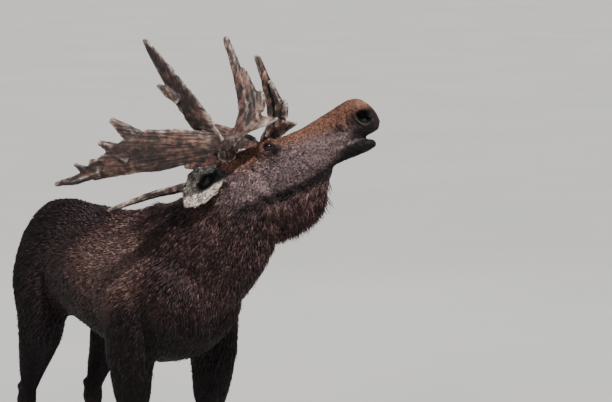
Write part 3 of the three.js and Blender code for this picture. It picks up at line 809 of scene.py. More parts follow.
def coat_length(p, weights):
    """Length of the hair in metres."""
    q = to_head(p)
    y = np.abs(p[:, 1] - SPINE_Y)
    s = np.stack([p[:, 0], y, p[:, 2]], 1)
    length = np.full(len(p), 0.046)
    length += 0.040 * blob(s, (0.22, 0.0, 1.80), (0.30, 0.13, 0.16))
    length += 0.016 * blob(s, (0.50, 0.0, 1.15), (0.20, 0.20, 0.20))
    length -= 0.010 * smooth_step(-0.5, -0.9, p[:, 0])
    length = length * (1 - weights["neck"]) + 0.058 * weights["neck"]
    leg = 0.013 + 0.024 * smooth_step(0.55, 0.98, p[:, 2])
    length = length * (1 - weights["leg"]) + leg * weights["leg"]
    head = 0.020 - 0.008 * smooth_step(0.10, 0.55, q[:, 0]) - 0.0035 * smooth_step(0.62, 0.74, q[:, 0])
    head += 0.012 * smooth_step(0.10, -0.05, q[:, 0])
    head += 0.018 * (1 - smooth_step(-0.17, -0.12, q[:, 2]))
    eye = np.linalg.norm(np.stack([q[:, 0], np.abs(q[:, 1]), q[:, 2]], 1) - (0.272, 0.115, 0.056), axis=1)
    head *= 1 - 0.62 * np.exp(-(eye / 0.034) ** 2)
    length = length * (1 - weights["head"]) + head * weights["head"]
    length = length * (1 - weights["bell"]) + 0.095 * weights["bell"]
    for side in EARS:
        length = length * (1 - weights["ear_" + side]) + 0.017 * weights["ear_" + side]
    return length * (1 - weights["tail"]) + 0.055 * weights["tail"]


# ------------------------------------------------------------------ the skin
def region_weights(owners, edges, p):
    """Soft membership of each vertex in the parts of the body."""
    def soft(mask, rounds):
        return relax(mask.astype(float)[:, None], edges, 0.5, rounds)[:, 0]

    legs = np.isin(owners, [FLESH.index(name) for name in FLESH[6:]])
    q = to_head(p)
    bell = (owners == FLESH.index("head")) & (q[:, 2] < -0.175) & (q[:, 0] > 0.02)
    weights = {
        "neck": soft(owners == FLESH.index("neck"), 40),
        "head": soft(owners == FLESH.index("head"), 24),
        "tail": soft(owners == FLESH.index("tail"), 6),
        "leg": soft(legs, 30),
        "bell": soft(bell, 10),
    }
    for side in EARS:
        weights["ear_" + side] = soft(owners == FLESH.index("ear_" + side), 4)
    return weights


skin_data = {}


def build_skin(settings):
    skin = joined_copy("skin", FLESH + EYES, GROW)
    apply_modifier(skin, "REMESH", mode="VOXEL", voxel_size=settings.voxel, adaptivity=0.0)
    body = Finder(FLESH)
    mesh = skin.data
    p, edges = points_of(mesh), edges_of(mesh)
    owners = body.owners(p)
    trunk_like = np.isin(owners, [FLESH.index("trunk"), FLESH.index("neck")]).astype(float)
    legs = np.isin(owners, [FLESH.index(name) for name in FLESH[6:]]).astype(float)
    ears = np.isin(owners, [FLESH.index("ear_left"), FLESH.index("ear_right")]).astype(float)
    q = to_head(p)
    nape = blob(np.stack([q[:, 0], np.abs(q[:, 1]), q[:, 2]], 1), (0.12, 0.13, -0.07), (0.075, 0.07, 0.13))
    nape = np.clip(1.6 * nape, 0, 0.9) * (1 - trunk_like - legs - ears)
    soft = relax((0.20 + 0.80 * trunk_like + 0.06 * legs - 0.14 * ears + nape)[:, None], edges, 0.5, 30)
    soft *= smooth_step(0.088, 0.105, p[:, 2])[:, None]
    p = relax(p, edges, 0.5 * soft, settings.relax_rounds)
    place_points(mesh, p)

    # the trunk and upper limbs need fewer faces than the face and ears
    choose(skin)
    group = skin.vertex_groups.new(name="coarse")
    coarse = np.clip(trunk_like + legs, 0, 1)
    group.add(np.nonzero(coarse > 0.5)[0].tolist(), 1.0, "REPLACE")
    bpy.ops.object.modifier_add(type="DECIMATE")
    decimate = skin.modifiers[-1]
    decimate.ratio = settings.coarse_share
    decimate.vertex_group = "coarse"
    decimate.use_collapse_triangulate = True
    bpy.ops.object.modifier_apply(modifier=decimate.name)
    skin.vertex_groups.clear()

    def head_place():
        return to_head(points_of(mesh))

    # finer faces round the eyes, nostrils and mouth
    for reach in (0.062, 0.050):
        q = head_place()
        wanted = np.zeros(len(q), bool)
        for side in ("left", "right"):
            centre = eye_axes(side)[0]
            wanted |= np.linalg.norm(q - centre, axis=1) < reach
        s = np.stack([q[:, 0], np.abs(q[:, 1]), q[:, 2]], 1)
        wanted |= np.linalg.norm((s - np.array(NOSTRIL)) / (1.2, 1, 1), axis=1) < reach * 0.9
        wanted |= (along_path(s, MOUTH)[0] < reach * 0.36) & (s[:, 2] > -0.13)
        refine(skin, wanted)
        p, edges = points_of(mesh), edges_of(mesh)
        local = (np.abs(to_head(p)[:, 0] - 0.45) < 0.40).astype(float)[:, None]
        on_head = (body.owners(p) == FLESH.index("head"))[:, None]
        place_points(mesh, relax(p, edges, 0.35 * local * on_head, 3))

    p, edges = points_of(mesh), edges_of(mesh)
    owners = body.owners(p)
    weights = region_weights(owners, edges, p)
    n = normals_of(mesh)
    n_soft = unit(relax(n, edges, 0.5, 6))
    length = relax(coat_length(p, weights)[:, None], edges, 0.5, 10)[:, 0]
    sunk = np.clip(length * 0.20, 0.0015, 0.014)
    sunk = np.where(owners == FLESH.index("tail"), 0.006, sunk)
    sunk *= smooth_step(0.088, 0.12, p[:, 2])
    forms = body_forms(p) * (1 - weights["leg"]) * (1 - weights["head"])
    forms += neck_forms(p) * np.clip(weights["neck"] + weights["head"], 0, 1) * (1 - weights["bell"])
    for name in FLESH[6:]:
        mine = owners == FLESH.index(name)
        forms[mine] += leg_forms(p[mine], name, limb_centres(name))
    q = to_head(p)
    forms += face_forms(q) * weights["head"]
    p = p + n_soft * (forms - sunk)[:, None]
    place_points(mesh, p)
    q = to_head(p)
    n = normals_of(mesh)
    p = p + unit(relax(n, edges, 0.5, 3)) * (muzzle_folds(q) * weights["head"])[:, None]
    q = to_head(p)
    for side in ("left", "right"):
        q = shape_lids(q, side)
    p = from_head(q)
    place_points(mesh, p)

    choose(skin)
    bpy.ops.object.mode_set(mode="EDIT")
    bpy.ops.mesh.select_all(action="SELECT")
    bpy.ops.mesh.quads_convert_to_tris()
    bpy.ops.mesh.normals_make_consistent(inside=False)
    bpy.ops.uv.smart_project(angle_limit=math.radians(66), island_margin=0.0008)
    bpy.ops.object.mode_set(mode="OBJECT")
    mesh.uv_layers.active.name = "OFBake"
    n = normals_of(mesh)
    claw = dewclaws(p, owners)
    colour_layer(mesh, "markings", mix(markings(p, n, weights) * 0.72, COAT["horn"], claw))
    number_layer(mesh, "bare", np.maximum(bare_skin(to_head(p)) * weights["head"], claw))
    finish_piece(skin, skin_material(), FLESH)
    skin_data.update(p=p, n=n, owners=owners, weights=weights, length=length, mesh=mesh)
    return skin


def dewclaws(p, owners):
    """1 on the two small claws behind each fetlock."""
    claw = np.zeros(len(p))
    for name in FLESH[6:]:
        mine = owners == FLESH.index(name)
        corner = points_of(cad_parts[name].data)
        band = corner[np.abs(corner[:, 2] - 0.160) < 0.035]
        back = band[:, 0].min()
        claw[mine] = (1 - smooth_step(back + 0.018, back + 0.026, p[mine, 0]))
        claw[mine] *= smooth_step(0.118, 0.128, p[mine, 2]) * (1 - smooth_step(0.178, 0.192, p[mine, 2]))
    return claw


def bare_skin(q):
    """1 on the bare skin of the nostrils, lips and eyelids."""
    s = np.stack([q[:, 0], np.abs(q[:, 1]), q[:, 2]], 1)
    bare = blob(s, NOSTRIL, (0.045, 0.04, 0.032)) * 1.6
    gap, t = along_path(s, MOUTH)
    bare = np.maximum(bare, 1.2 * np.exp(-(gap / 0.009) ** 2) * smooth_step(0.0, 0.3, t))
    lids = 1 - smooth_step(1.30, 1.60, lid_share(s, "left")[0])
    return np.clip(np.maximum(bare, lids), 0, 1)


# ------------------------------------------------------------------ the coat
class Tufts:
    """Roots spread over chosen skin triangles, in proportion to area times a density."""

    def __init__(self, rng, wanted, density, count):
        tri = skin_data["triangles"]
        p = skin_data["p"]
        chosen = np.nonzero(wanted)[0]
        a, b, c = (p[tri[chosen, k]] for k in range(3))
        area = 0.5 * np.linalg.norm(np.cross(b - a, c - a), axis=1) * density[chosen]
        steps = np.cumsum(area) / area.sum()
        draws = (np.arange(count) + rng.random(count)) / count
        face = chosen[np.minimum(np.searchsorted(steps, draws), len(chosen) - 1)]
        u, v = rng.random(count), rng.random(count)
        over = u + v > 1
        u[over], v[over] = 1 - u[over], 1 - v[over]
        share = np.stack([1 - u - v, u, v], 1)
        corner = tri[face]

        def spread(values):
            return np.einsum("nk,nkd->nd", share, values[corner])

        self.root = spread(p)
        self.normal = unit(spread(skin_data["n"]))
        self.lie = spread(skin_data["lie"])
        self.length = spread(skin_data["length"][:, None])[:, 0]
        self.colour = spread(skin_data["colour"])
        self.uv = np.einsum("nk,nkd->nd", share, skin_data["uv"][face])
        self.rng = rng
        self.count = count


def tuft_mesh(name, tufts, width, lift, long_hair=True, wild=0.14, tip_highlight=1.45, root_painted_shade=0.50):
    """A joined mesh of closed, tapered tufts that lie along the coat."""
    rng, count = tufts.rng, tufts.count
    n = tufts.normal
    lie = tufts.lie + wild * rng.normal(size=(count, 3))
    d = unit(lie - n * (lie * n).sum(1, keepdims=True))
    side = np.cross(n, d)
    length = tufts.length * rng.uniform(0.72, 1.22, count)
    narrowest = 0.35 if long_hair else 0.75
    wide = width * rng.uniform(0.75, 1.3, count) * np.clip(length / tufts.length.mean(), narrowest, 1.4)
    locks = grain(tufts.root, 48.0, 90.0)
    rise = np.clip(lift * (1 + 0.40 * rng.normal(size=count) + 0.7 * locks), 0.04, 0.9)
    sway = rng.normal(size=count) * 0.10 * length
    root = tufts.root - n * 0.0015

    def at(along, up, across):
        return (root + d * (length * along)[:, None] + n * up[:, None] + side * across[:, None])

    zero = np.zeros(count)
    thick = wide * 0.34
    tip_up = length * np.sin(rise) * 0.80
    tip = at(np.cos(rise), tip_up, sway)
    if long_hair:
        mid_up = length * 0.5 * np.sin(rise) * 1.25
        mid = np.full(count, 0.48)
        rows = [at(zero, zero, wide * 0.42), at(zero, zero, -wide * 0.42), at(zero, thick, zero),
                at(mid, mid_up, wide * 0.5 + sway * 0.3), at(mid, mid_up, -wide * 0.5 + sway * 0.3),
                at(mid, mid_up + thick, sway * 0.3), tip]
        faces = [(0, 1, 2), (0, 3, 4), (0, 4, 1), (1, 4, 5), (1, 5, 2), (2, 5, 3), (2, 3, 0),
                 (3, 6, 4), (4, 6, 5), (5, 6, 3)]
        along = [0, 0, 0, 0.5, 0.5, 0.5, 1]
        across = [0.1, 0.9, 0.5, 0.1, 0.9, 0.5, 0.5]
    else:
        rows = [at(zero, zero, wide * 0.5), at(zero, zero, -wide * 0.5), at(zero, thick, zero), tip]
        faces = [(0, 1, 2), (0, 3, 1), (1, 3, 2), (2, 3, 0)]
        along, across = [0, 0, 0, 1], [0.1, 0.9, 0.5, 0.5]
    each = len(rows)
    points = np.stack(rows, 1).reshape(-1, 3)
    triangles = (np.array(faces)[None] + (np.arange(count) * each)[:, None, None]).reshape(-1, 3)

    mesh = bpy.data.meshes.new(name)
    mesh.vertices.add(len(points))
    mesh.vertices.foreach_set("co", points.astype(np.float32).ravel())
    mesh.loops.add(triangles.size)
    mesh.loops.foreach_set("vertex_index", triangles.astype(np.int32).ravel())
    mesh.polygons.add(len(triangles))
    mesh.polygons.foreach_set("loop_start", np.arange(0, triangles.size, 3, dtype=np.int32))
    mesh.update(calc_edges=True)

    along, across = np.array(along), np.array(across)
    clump = grain(tufts.root, 62.0, 14.0)
    tone = np.exp(np.clip(0.40 * rng.normal(size=count) + 0.55 * clump, -1.1, 1.1))
    # each tuft darker at the root and lighter at the tip: painted shade deep in the coat and painted
    # highlight on the tips
    tip_tone = rng.uniform(0.8, 1.2, count) * tip_highlight
    shade = tone[:, None] * (root_painted_shade + (tip_tone[:, None] - root_painted_shade) * along[None, :])
    # a greyish lightening towards the tips: partly the hairs' own paler tips, partly painted sheen
    grey_tip_sheen = np.mean(tufts.colour, axis=1, keepdims=True)
    tint = tufts.colour[:, None, :] * shade[:, :, None]
    tint = tint + (0.35 * along[None, :, None] * rng.random((count, 1, 1)) * grey_tip_sheen[:, None, :])
    colour_layer(mesh, "markings", np.clip(tint.reshape(-1, 3), 0.002, 0.9))
    place = np.stack([np.tile(across, (count, 1)) + 9 * rng.random((count, 1)),
                      np.tile(along, (count, 1)) + 9 * rng.random((count, 1)), np.zeros((count, each))], 2)
    layer = mesh.attributes.new(name="strand", type="FLOAT_VECTOR", domain="POINT")
    layer.data.foreach_set("vector", place.astype(np.float32).ravel())
    patch = 0.003 * (np.stack([across, along], 1) - 0.5)
    uv = np.clip(tufts.uv[:, None, :] + patch[None], 0, 1).reshape(-1, 2)
    bake = mesh.uv_layers.new(name="OFBake")
    bake.data.foreach_set("uv", uv[triangles.ravel()].astype(np.float32).ravel())
    piece = bpy.data.objects.new(name, mesh)
    bpy.context.scene.collection.objects.link(piece)
    return piece


def prepare_coat():
    """Per-triangle and per-vertex layers that all coat pieces read."""
    mesh, p, n = skin_data["mesh"], skin_data["p"], skin_data["n"]
    tri = np.empty(len(mesh.polygons) * 3, np.int32)
    mesh.polygons.foreach_get("vertices", tri)
    uv = np.empty(len(mesh.loops) * 2, np.float32)
    mesh.uv_layers["OFBake"].data.foreach_get("uv", uv)
    owners, weights, edges = skin_data["owners"], skin_data["weights"], edges_of(mesh)
    lie = coat_lie(p, owners, weights)
    for _ in range(14):
        lie = lie - n * (lie * n).sum(1, keepdims=True)
        lie = relax(unit(lie), edges, 0.5, 2)
    swirl = np.stack([grain(p, 7.0, 20.0), grain(p, 7.0, 40.0), grain(p, 7.0, 60.0)], 1)
    skin_data.update(
        triangles=tri.reshape(-1, 3), uv=uv.reshape(-1, 3, 2).astype(float),
        lie=unit(lie) + 0.28 * swirl, colour=markings(p, n, weights),
    )


# where the shoulder's coat ends and where the rump's begins, along the back
SHOULDER_BACK, LOIN = 0.14, -0.42

# name, number of tufts, width, lift from the skin, long hair or short spikes, waywardness
COAT_PLANS = [
    ("coat_face", 45000, 0.0036, 0.20, False, 0.16),
    ("coat_throat", 18500, 0.0040, 0.20, True, 0.17),
    ("coat_neck", 18000, 0.0050, 0.20, True, 0.16),
    ("coat_shoulder", 18500, 0.0052, 0.18, True, 0.15),
    ("coat_flank", 18000, 0.0054, 0.17, True, 0.15),
    ("coat_rump", 18000, 0.0054, 0.17, True, 0.15),
    ("coat_forelegs", 38000, 0.0036, 0.17, False, 0.12),
    ("coat_hindlegs", 38000, 0.0036, 0.17, False, 0.12),
    ("coat_ears", 9500, 0.0034, 0.24, True, 0.20),
]


def build_coat(settings):
    prepare_coat()
    tri, p = skin_data["triangles"], skin_data["p"]
    owner = skin_data["owners"][tri[:, 0]]
    middle = p[tri].mean(1)
    q = to_head(middle)
    s = np.stack([q[:, 0], np.abs(q[:, 1]), q[:, 2]], 1)
    weights = {key: value[tri].mean(1) for key, value in skin_data["weights"].items()}
    bare = bare_skin(s) * (weights["head"] > 0.5)
    is_part = {name: owner == index for index, name in enumerate(FLESH)}
    bell = weights["bell"] > 0.5
    claw = dewclaws(middle, owner)
    under_jaw = is_part["head"] & ~bell & (q[:, 2] < -0.115 - 0.10 * np.clip(0.35 - q[:, 0], 0, 0.3))
    open_eye = np.minimum(lid_share(q, "left")[0], lid_share(q, "right")[0]) < 1.42
    seat = np.linalg.norm(s - np.array(BURR), axis=1) < 0.030
    face = is_part["head"] & ~bell & ~under_jaw & (bare < 0.45) & ~open_eye & ~seat
    ears = is_part["ear_left"] | is_part["ear_right"]
    trunk = is_part["trunk"]
    even = np.ones(len(tri))
    denser = 1 + 1.2 * smooth_step(0.45, 0.65, q[:, 0]) + 0.8 * np.exp(-(np.linalg.norm(
        s - np.array([0.268, 0.097, 0.058]), axis=1) / 0.06) ** 2)
    chosen = {
        "coat_face": face,
        "coat_throat": bell | under_jaw,
        "coat_neck": is_part["neck"],
        "coat_shoulder": trunk & (middle[:, 0] > SHOULDER_BACK),
        "coat_flank": trunk & (middle[:, 0] <= SHOULDER_BACK) & (middle[:, 0] > LOIN),
        "coat_rump": (trunk & (middle[:, 0] <= LOIN)) | is_part["tail"],
        "coat_forelegs": (is_part["foreleg_left"] | is_part["foreleg_right"]) & (claw < 0.5),
        "coat_hindlegs": (is_part["hindleg_left"] | is_part["hindleg_right"]) & (claw < 0.5),
        "coat_ears": ears,
    }
    guard_hair = hair_material("coat_hair", 0.5)
    ear_hair = hair_material("ear_hair", 0.32)
    for index, (name, count, width, lift, long_hair, wild) in enumerate(COAT_PLANS):
        rng = np.random.default_rng(settings.seed + index)
        density = denser if name == "coat_face" else even
        tufts = Tufts(rng, chosen[name], density, int(count * settings.fullness))
        piece = tuft_mesh(name, tufts, width, lift, long_hair, wild)
        finish_piece(piece, ear_hair if name == "coat_ears" else guard_hair)


# ------------------------------------------------------------------ antlers
ANTLER_COLOURS = {
    "stain": np.array((0.085, 0.0380, 0.0290)),
    "dark": np.array((0.018, 0.0088, 0.0082)),
    "bone": np.array((0.460, 0.3850, 0.3500)),
    "warm": np.array((0.150, 0.0700, 0.0520)),
}


def fibre_place(p, n, edges, owner, nodes, burr):
    """Place across the fibres, along them and the face, in the fan that each part of an antler grows in."""
    place = np.zeros_like(p)
    for index, name in enumerate(nodes):
        corner = points_of(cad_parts[name].data)
        middle = corner.mean(0)
        thin = np.linalg.svd(corner - middle, full_matrices=False)[2][2]
        near = np.argsort(np.linalg.norm(corner - burr, axis=1))[:max(6, len(corner) // 12)]
        main = middle - corner[near].mean(0)
        main = unit(main - thin * (main @ thin))
        wide = np.cross(thin, main)
        reach = (corner - middle) @ main
        root = middle + main * (reach.min() - 0.4 * np.ptp(reach))
        mine = owner == index
        d = p[mine] - root
        far = d @ main
        place[mine, 0] = (d @ wide) / far * (far.max() * 0.8)
        place[mine, 1] = far
        place[mine, 2] = 0.5 * (n[mine] @ thin)
    return relax(place, edges, 0.5, 8)


def build_antlers(settings):
    material = antler_material()
    for side, nodes in ANTLERS.items():
        antler = joined_copy("antler_" + side, nodes, GROW)
        apply_modifier(antler, "REMESH", mode="VOXEL", voxel_size=settings.antler_voxel, adaptivity=0.0)
        mesh = antler.data
        p, edges = points_of(mesh), edges_of(mesh)
        p = relax(p, edges, 0.5, 6)
        owner = Finder(nodes).owners(p)
        joint = np.zeros((len(p), 1))
        joint[edges[owner[edges[:, 0]] != owner[edges[:, 1]]].ravel()] = 1
        joint = np.clip(2.5 * relax(joint, edges, 0.5, 16), 0, 1)
        p = relax(p, edges, 0.5 * joint, 30)
        place_points(mesh, p)
        n = normals_of(mesh)
        q = to_head(p)
        burr = np.array(BURR) * (1, 1 if side == "left" else -1, 1)
        rim = ((p - relax(p, edges, 0.5, 26)) * n).sum(1)
        rim = relax(rim[:, None], edges, 0.5, 2)[:, 0]
        fibre = fibre_place(p, n, edges, owner, nodes, from_head(burr))
        warp = 0.010 * grain(p, 9.0, 44.0)
        fibre[:, 0] += warp
        thin = 1.3 * grain(fibre * (70.0, 7.0, 1.0), 1.0, 7.0) + 1.1 * grain(p, 34.0, 2.0)
        thin = np.clip(thin, -1, 1)
        near_burr = np.exp(-(np.linalg.norm(q - burr, axis=1) / 0.040) ** 4)
        pearls = grain(p, 95.0, 5.0) * near_burr
        relief = 0.0022 * thin * (1 - near_burr) + 0.0045 * np.clip(pearls, -0.3, 1)
        bumps = grain(p, 60.0, 15.0)
        relief += 0.0012 * np.clip(bumps - 0.15, 0, 1) * (1 - near_burr)
        p = p + n * relief[:, None]
        place_points(mesh, p)
        # rims and tips lightened towards bone: partly wear, partly painted highlight
        pale = smooth_step(0.0009, 0.0042, rim + 0.0016 * grain(p, 14.0, 31.0) + 0.0007 * thin)
        cloud = grain(p, 9.0, 12.0)
        tone = np.clip(0.5 + 1.0 * thin, 0, 1)
        colour = mix(np.tile(ANTLER_COLOURS["dark"], (len(p), 1)), ANTLER_COLOURS["stain"], tone)
        colour = mix(colour, ANTLER_COLOURS["warm"], tone * smooth_step(-0.15, 0.35, cloud))
        colour = mix(colour, ANTLER_COLOURS["dark"], 0.80 * smooth_step(0.05, -0.30, grain(p, 6.0, 52.0)))
        colour = mix(colour, ANTLER_COLOURS["bone"], 0.72 * pale)
        colour = mix(colour, ANTLER_COLOURS["dark"], 0.8 * near_burr * (1 - pale))
        colour_layer(mesh, "markings", colour)
        along = fibre * (240.0, 14.0, 1.0) + 1.1 * np.stack([grain(p, 34.0, 61.0)] * 3, 1)
        layer = mesh.attributes.new(name="grain_place", type="FLOAT_VECTOR", domain="POINT")
        layer.data.foreach_set("vector", along.astype(np.float32).ravel())
        finish_piece(antler, material, nodes)


# ------------------------------------------------------------------ eyes and hooves
def build_eyes(settings):
    material = eye_material()
    for side in ("left", "right"):
        centre, gaze, fore, rise = eye_axes(side)
        deselect()
        bpy.ops.mesh.primitive_uv_sphere_add(segments=64, ring_count=40, radius=EYE_R - 0.0003)
        ball = bpy.context.object
        ball.name = ball.data.name = "eyeball_" + side
        p = points_of(ball.data)
        share = np.degrees(np.arccos(np.clip(p[:, 2] / np.linalg.norm(p, axis=1), -1, 1)))
        cornea = 0.0012 * np.exp(-(share / 34.0) ** 4)
        p = p + unit(p) * cornea[:, None]
        # the pupil is a level oval, the iris is round
        wide = np.hypot(p[:, 0] / 1.55, p[:, 1])
        zone = np.where(p[:, 2] > 0, 0.5 * (np.hypot(p[:, 0], p[:, 1]) / 0.0150), 1.0)
        pupil = wide / 0.0062
        zone = np.where((pupil < 1) & (p[:, 2] > 0), 0.40 * pupil, np.maximum(0.46, zone + 0.36))
        place_points(ball.data, from_head(centre + p[:, :1] * fore + p[:, 1:2] * rise + p[:, 2:] * gaze))
        choose(ball)
        bpy.ops.object.mode_set(mode="EDIT")
        bpy.ops.mesh.select_all(action="SELECT")
        bpy.ops.mesh.normals_make_consistent(inside=False)
        bpy.ops.object.mode_set(mode="OBJECT")
        steady_faces(ball.data)
        number_layer(ball.data, "zone", np.clip(zone, 0, 1))
        finish_piece(ball, material, ["eye_" + side])


def build_hooves(settings):
    material = hoof_material()
    for name in HOOVES:
        hoof = joined_copy(name.replace("hoof", "hoof_wall"), [name])
        apply_modifier(hoof, "REMESH", mode="VOXEL", voxel_size=0.0035, adaptivity=0.0)
        mesh = hoof.data
        p, edges = points_of(mesh), edges_of(mesh)
        level = p[:, 2].copy()
        p = relax(p, edges, 0.5, 12)
        n = normals_of(mesh)
        low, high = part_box(name)
        middle = (low.y + high.y) / 2
        front = smooth_step(low.x + 0.05, high.x - 0.02, p[:, 0])
        cleft = np.exp(-(((p[:, 1] - middle) / 0.0055) ** 2)) * front
        rings = np.sin(p[:, 2] * 2 * np.pi / 0.0085 + 2.2 * grain(p, 30.0, 4.0))
        wall = smooth_step(0.006, 0.014, p[:, 2]) * (1 - smooth_step(0.074, 0.084, p[:, 2]))
        relief = 0.0006 * rings * wall - 0.010 * cleft * smooth_step(0.004, 0.02, p[:, 2])
        top = 0.0016 * np.exp(-(((p[:, 2] - 0.083) / 0.006) ** 2))
        p = p + n * (relief + top)[:, None]
        sole = level < low.z + 0.002
        p[sole, 2] = 0.0
        p[:, 2] = np.maximum(p[:, 2], 0.0)
        place_points(mesh, p)
        streak = grain(p * (1, 1, 0.12), 70.0, 8.0)
        worn = smooth_step(0.05, 0.5, streak)
        colour = mix(np.tile(COAT["horn"], (len(p), 1)), (0.075, 0.055, 0.042), worn)
        dusty = 1 - smooth_step(0.002, 0.022, p[:, 2])
        colour = mix(colour, (0.110, 0.092, 0.074), 0.55 * dusty)
        colour_layer(mesh, "markings", colour)
        finish_piece(hoof, material, [name])


# ------------------------------------------------------------------ floor, lights and camera
CAMERA_AIM = Vector((0.674, 0.520, 1.805))
CAMERA_AZIMUTH, CAMERA_ELEVATION, CAMERA_DISTANCE = 62.0, 8.0, 14.0
LENS = 172.9
SUN_FROM = (5.7, -0.7, 8.0)


def aim(obj, at):
    obj.rotation_euler = (Vector(at) - obj.location).to_track_quat("-Z", "Y").to_euler()


def camera_place():
    pivot = Vector((0.5, 0.1, 1.5))
    turn, rise = math.radians(CAMERA_AZIMUTH), math.radians(CAMERA_ELEVATION)
    back = Vector((math.sin(turn) * math.cos(rise), -math.cos(turn) * math.cos(rise), math.sin(rise)))
    return pivot + back * CAMERA_DISTANCE


def build_stage(settings):
    deselect()
    bpy.ops.mesh.primitive_plane_add(size=400, location=(0, 0, 0))
    floor = bpy.context.object
    floor.name = floor.data.name = "floor"
    floor.data.materials.append(floor_material())

    bpy.ops.object.camera_add(location=camera_place())
    camera = bpy.context.object
    camera.data.lens = LENS
    camera.data.sensor_width = 36
    camera.data.clip_end = 500
    aim(camera, CAMERA_AIM)
    bpy.context.scene.camera = camera

    bpy.ops.object.light_add(type="SUN", location=SUN_FROM)
    sun = bpy.context.object
    sun.name = "key_light"
    sun.data.energy = settings.key_power
    sun.data.angle = math.radians(settings.key_spread)
    sun.data.color = (1.0, 0.955, 0.90)
    aim(sun, (0, 0, 0))
    lamps = [
        ("fill_light", (7.0, -9.0, 3.0), (0.2, 0.0, 1.3), 6.0, settings.fill_power, (0.86, 0.90, 1.0)),
        ("rim_light", (-7.0, 5.0, 6.0), (0.0, 0.0, 1.6), 5.0, settings.rim_power, (0.90, 0.95, 1.0)),
    ]
    for name, place, target, size, power, tint in lamps:
        bpy.ops.object.light_add(type="AREA", location=place)
        lamp = bpy.context.object
        lamp.name = name
        lamp.data.shape = "SQUARE"
        lamp.data.size = size
        lamp.data.energy = power
        lamp.data.color = tint
        aim(lamp, target)
    world = bpy.context.scene.world or bpy.data.worlds.new("studio")
    bpy.context.scene.world = world
    world.use_nodes = True
    sky = world.node_tree.nodes["Background"]
    sky.inputs["Color"].default_value = (0.80, 0.86, 0.92, 1)
    sky.inputs["Strength"].default_value = settings.sky


# ------------------------------------------------------------------ settings, operators and panel
class MooseSkinSettings(bpy.types.PropertyGroup):
    voxel: FloatProperty(name="Skin detail", description="Size of the first even faces of the skin",
                         default=0.0068, min=0.004, max=0.03, unit="LENGTH")
    relax_rounds: IntProperty(name="Softening", description="Rounds of smoothing over trunk and neck",
                              default=110, min=0)
    coarse_share: FloatProperty(name="Kept faces", description="Share of faces kept on trunk and legs",
                                default=0.36, min=0.05, max=1.0, subtype="FACTOR")


class MooseCoatSettings(bpy.types.PropertyGroup):
    fullness: FloatProperty(name="Fullness", description="Share of the full number of tufts",
                            default=1.0, min=0.05, max=1.0, subtype="FACTOR")
    seed: IntProperty(name="Seed", description="Start of the random spread of the tufts", default=11)


class MooseAntlerSettings(bpy.types.PropertyGroup):
    antler_voxel: FloatProperty(name="Antler detail", description="Size of the even faces of the antlers",
                                default=0.0041, min=0.002, max=0.02, unit="LENGTH")


class MooseStageSettings(bpy.types.PropertyGroup):
    key_power: FloatProperty(name="Key light", description="Strength of the key light", default=7.2, min=0)
    key_spread: FloatProperty(name="Key spread", description="Angle of the key light in degrees",
                              default=3.5, min=0, max=60)
    fill_power: FloatProperty(name="Fill light", description="Power of the fill light", default=60.0,
                              min=0, unit="POWER")
    rim_power: FloatProperty(name="Rim light", description="Power of the light behind", default=160.0,
                             min=0, unit="POWER")
    sky: FloatProperty(name="Sky", description="Strength of the even light from all round",
                       default=0.17, min=0)


class MooseSettings(bpy.types.PropertyGroup):
    skin: PointerProperty(type=MooseSkinSettings)
    coat: PointerProperty(type=MooseCoatSettings)
    antlers: PointerProperty(type=MooseAntlerSettings)
    stage: PointerProperty(type=MooseStageSettings)


class MOOSE_OT_skin(bpy.types.Operator):
    """Make the one skin that replaces the nodes of flesh"""
    bl_idname = "moose.skin"
    bl_label = "Skin"

    def execute(self, context):
        build_skin(context.scene.moose.skin)
        return {"FINISHED"}


class MOOSE_OT_coat(bpy.types.Operator):
    """Spread the tufts of the coat over the skin"""
    bl_idname = "moose.coat"
    bl_label = "Coat"

    def execute(self, context):
        build_coat(context.scene.moose.coat)
        return {"FINISHED"}


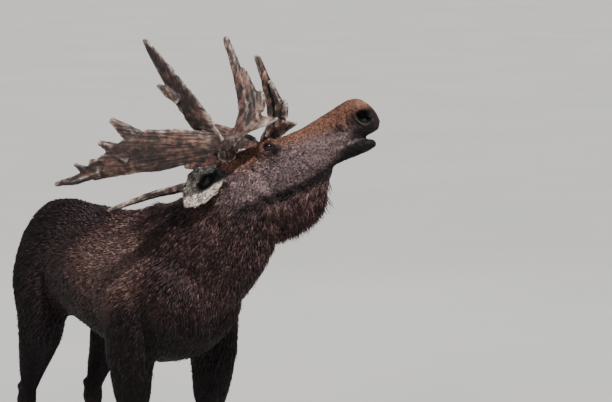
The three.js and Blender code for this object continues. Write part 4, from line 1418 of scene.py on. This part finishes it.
class MOOSE_OT_antlers(bpy.types.Operator):
    """Make the two antlers with their ridges, burrs and pale rims, partly worn and partly painted highlight
    """
    bl_idname = "moose.antlers"
    bl_label = "Antlers"

    def execute(self, context):
        build_antlers(context.scene.moose.antlers)
        return {"FINISHED"}


class MOOSE_OT_eyes(bpy.types.Operator):
    """Make the two eyeballs"""
    bl_idname = "moose.eyes"
    bl_label = "Eyes"

    def execute(self, context):
        build_eyes(context.scene.moose.skin)
        return {"FINISHED"}


class MOOSE_OT_hooves(bpy.types.Operator):
    """Make the four cloven hooves"""
    bl_idname = "moose.hooves"
    bl_label = "Hooves"

    def execute(self, context):
        build_hooves(context.scene.moose.skin)
        return {"FINISHED"}


class MOOSE_OT_stage(bpy.types.Operator):
    """Lay the floor and set the lights and the camera"""
    bl_idname = "moose.stage"
    bl_label = "Stage"

    def execute(self, context):
        build_stage(context.scene.moose.stage)
        return {"FINISHED"}


OPERATORS = (MOOSE_OT_stage, MOOSE_OT_skin, MOOSE_OT_coat, MOOSE_OT_antlers, MOOSE_OT_eyes, MOOSE_OT_hooves)


class MOOSE_PT_panel(bpy.types.Panel):
    """Lists the steps that dress the moose"""
    bl_label = "Moose"
    bl_idname = "MOOSE_PT_panel"
    bl_space_type = "VIEW_3D"
    bl_region_type = "UI"
    bl_category = "Moose"

    def draw(self, context):
        for operator in OPERATORS:
            self.layout.operator(operator.bl_idname)


CLASSES = (MooseSkinSettings, MooseCoatSettings, MooseAntlerSettings, MooseStageSettings, MooseSettings,
           *OPERATORS, MOOSE_PT_panel)


def register():
    for each in CLASSES:
        bpy.utils.register_class(each)
    bpy.types.Scene.moose = PointerProperty(type=MooseSettings)


def unregister():
    del bpy.types.Scene.moose
    for each in reversed(CLASSES):
        bpy.utils.unregister_class(each)


def main():
    register()
    bpy.ops.moose.stage()
    bpy.ops.moose.skin()
    bpy.ops.moose.coat()
    bpy.ops.moose.antlers()
    bpy.ops.moose.eyes()
    bpy.ops.moose.hooves()
    bpy.context.view_layer.update()
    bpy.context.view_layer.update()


if __name__ == "__main__":
    main()
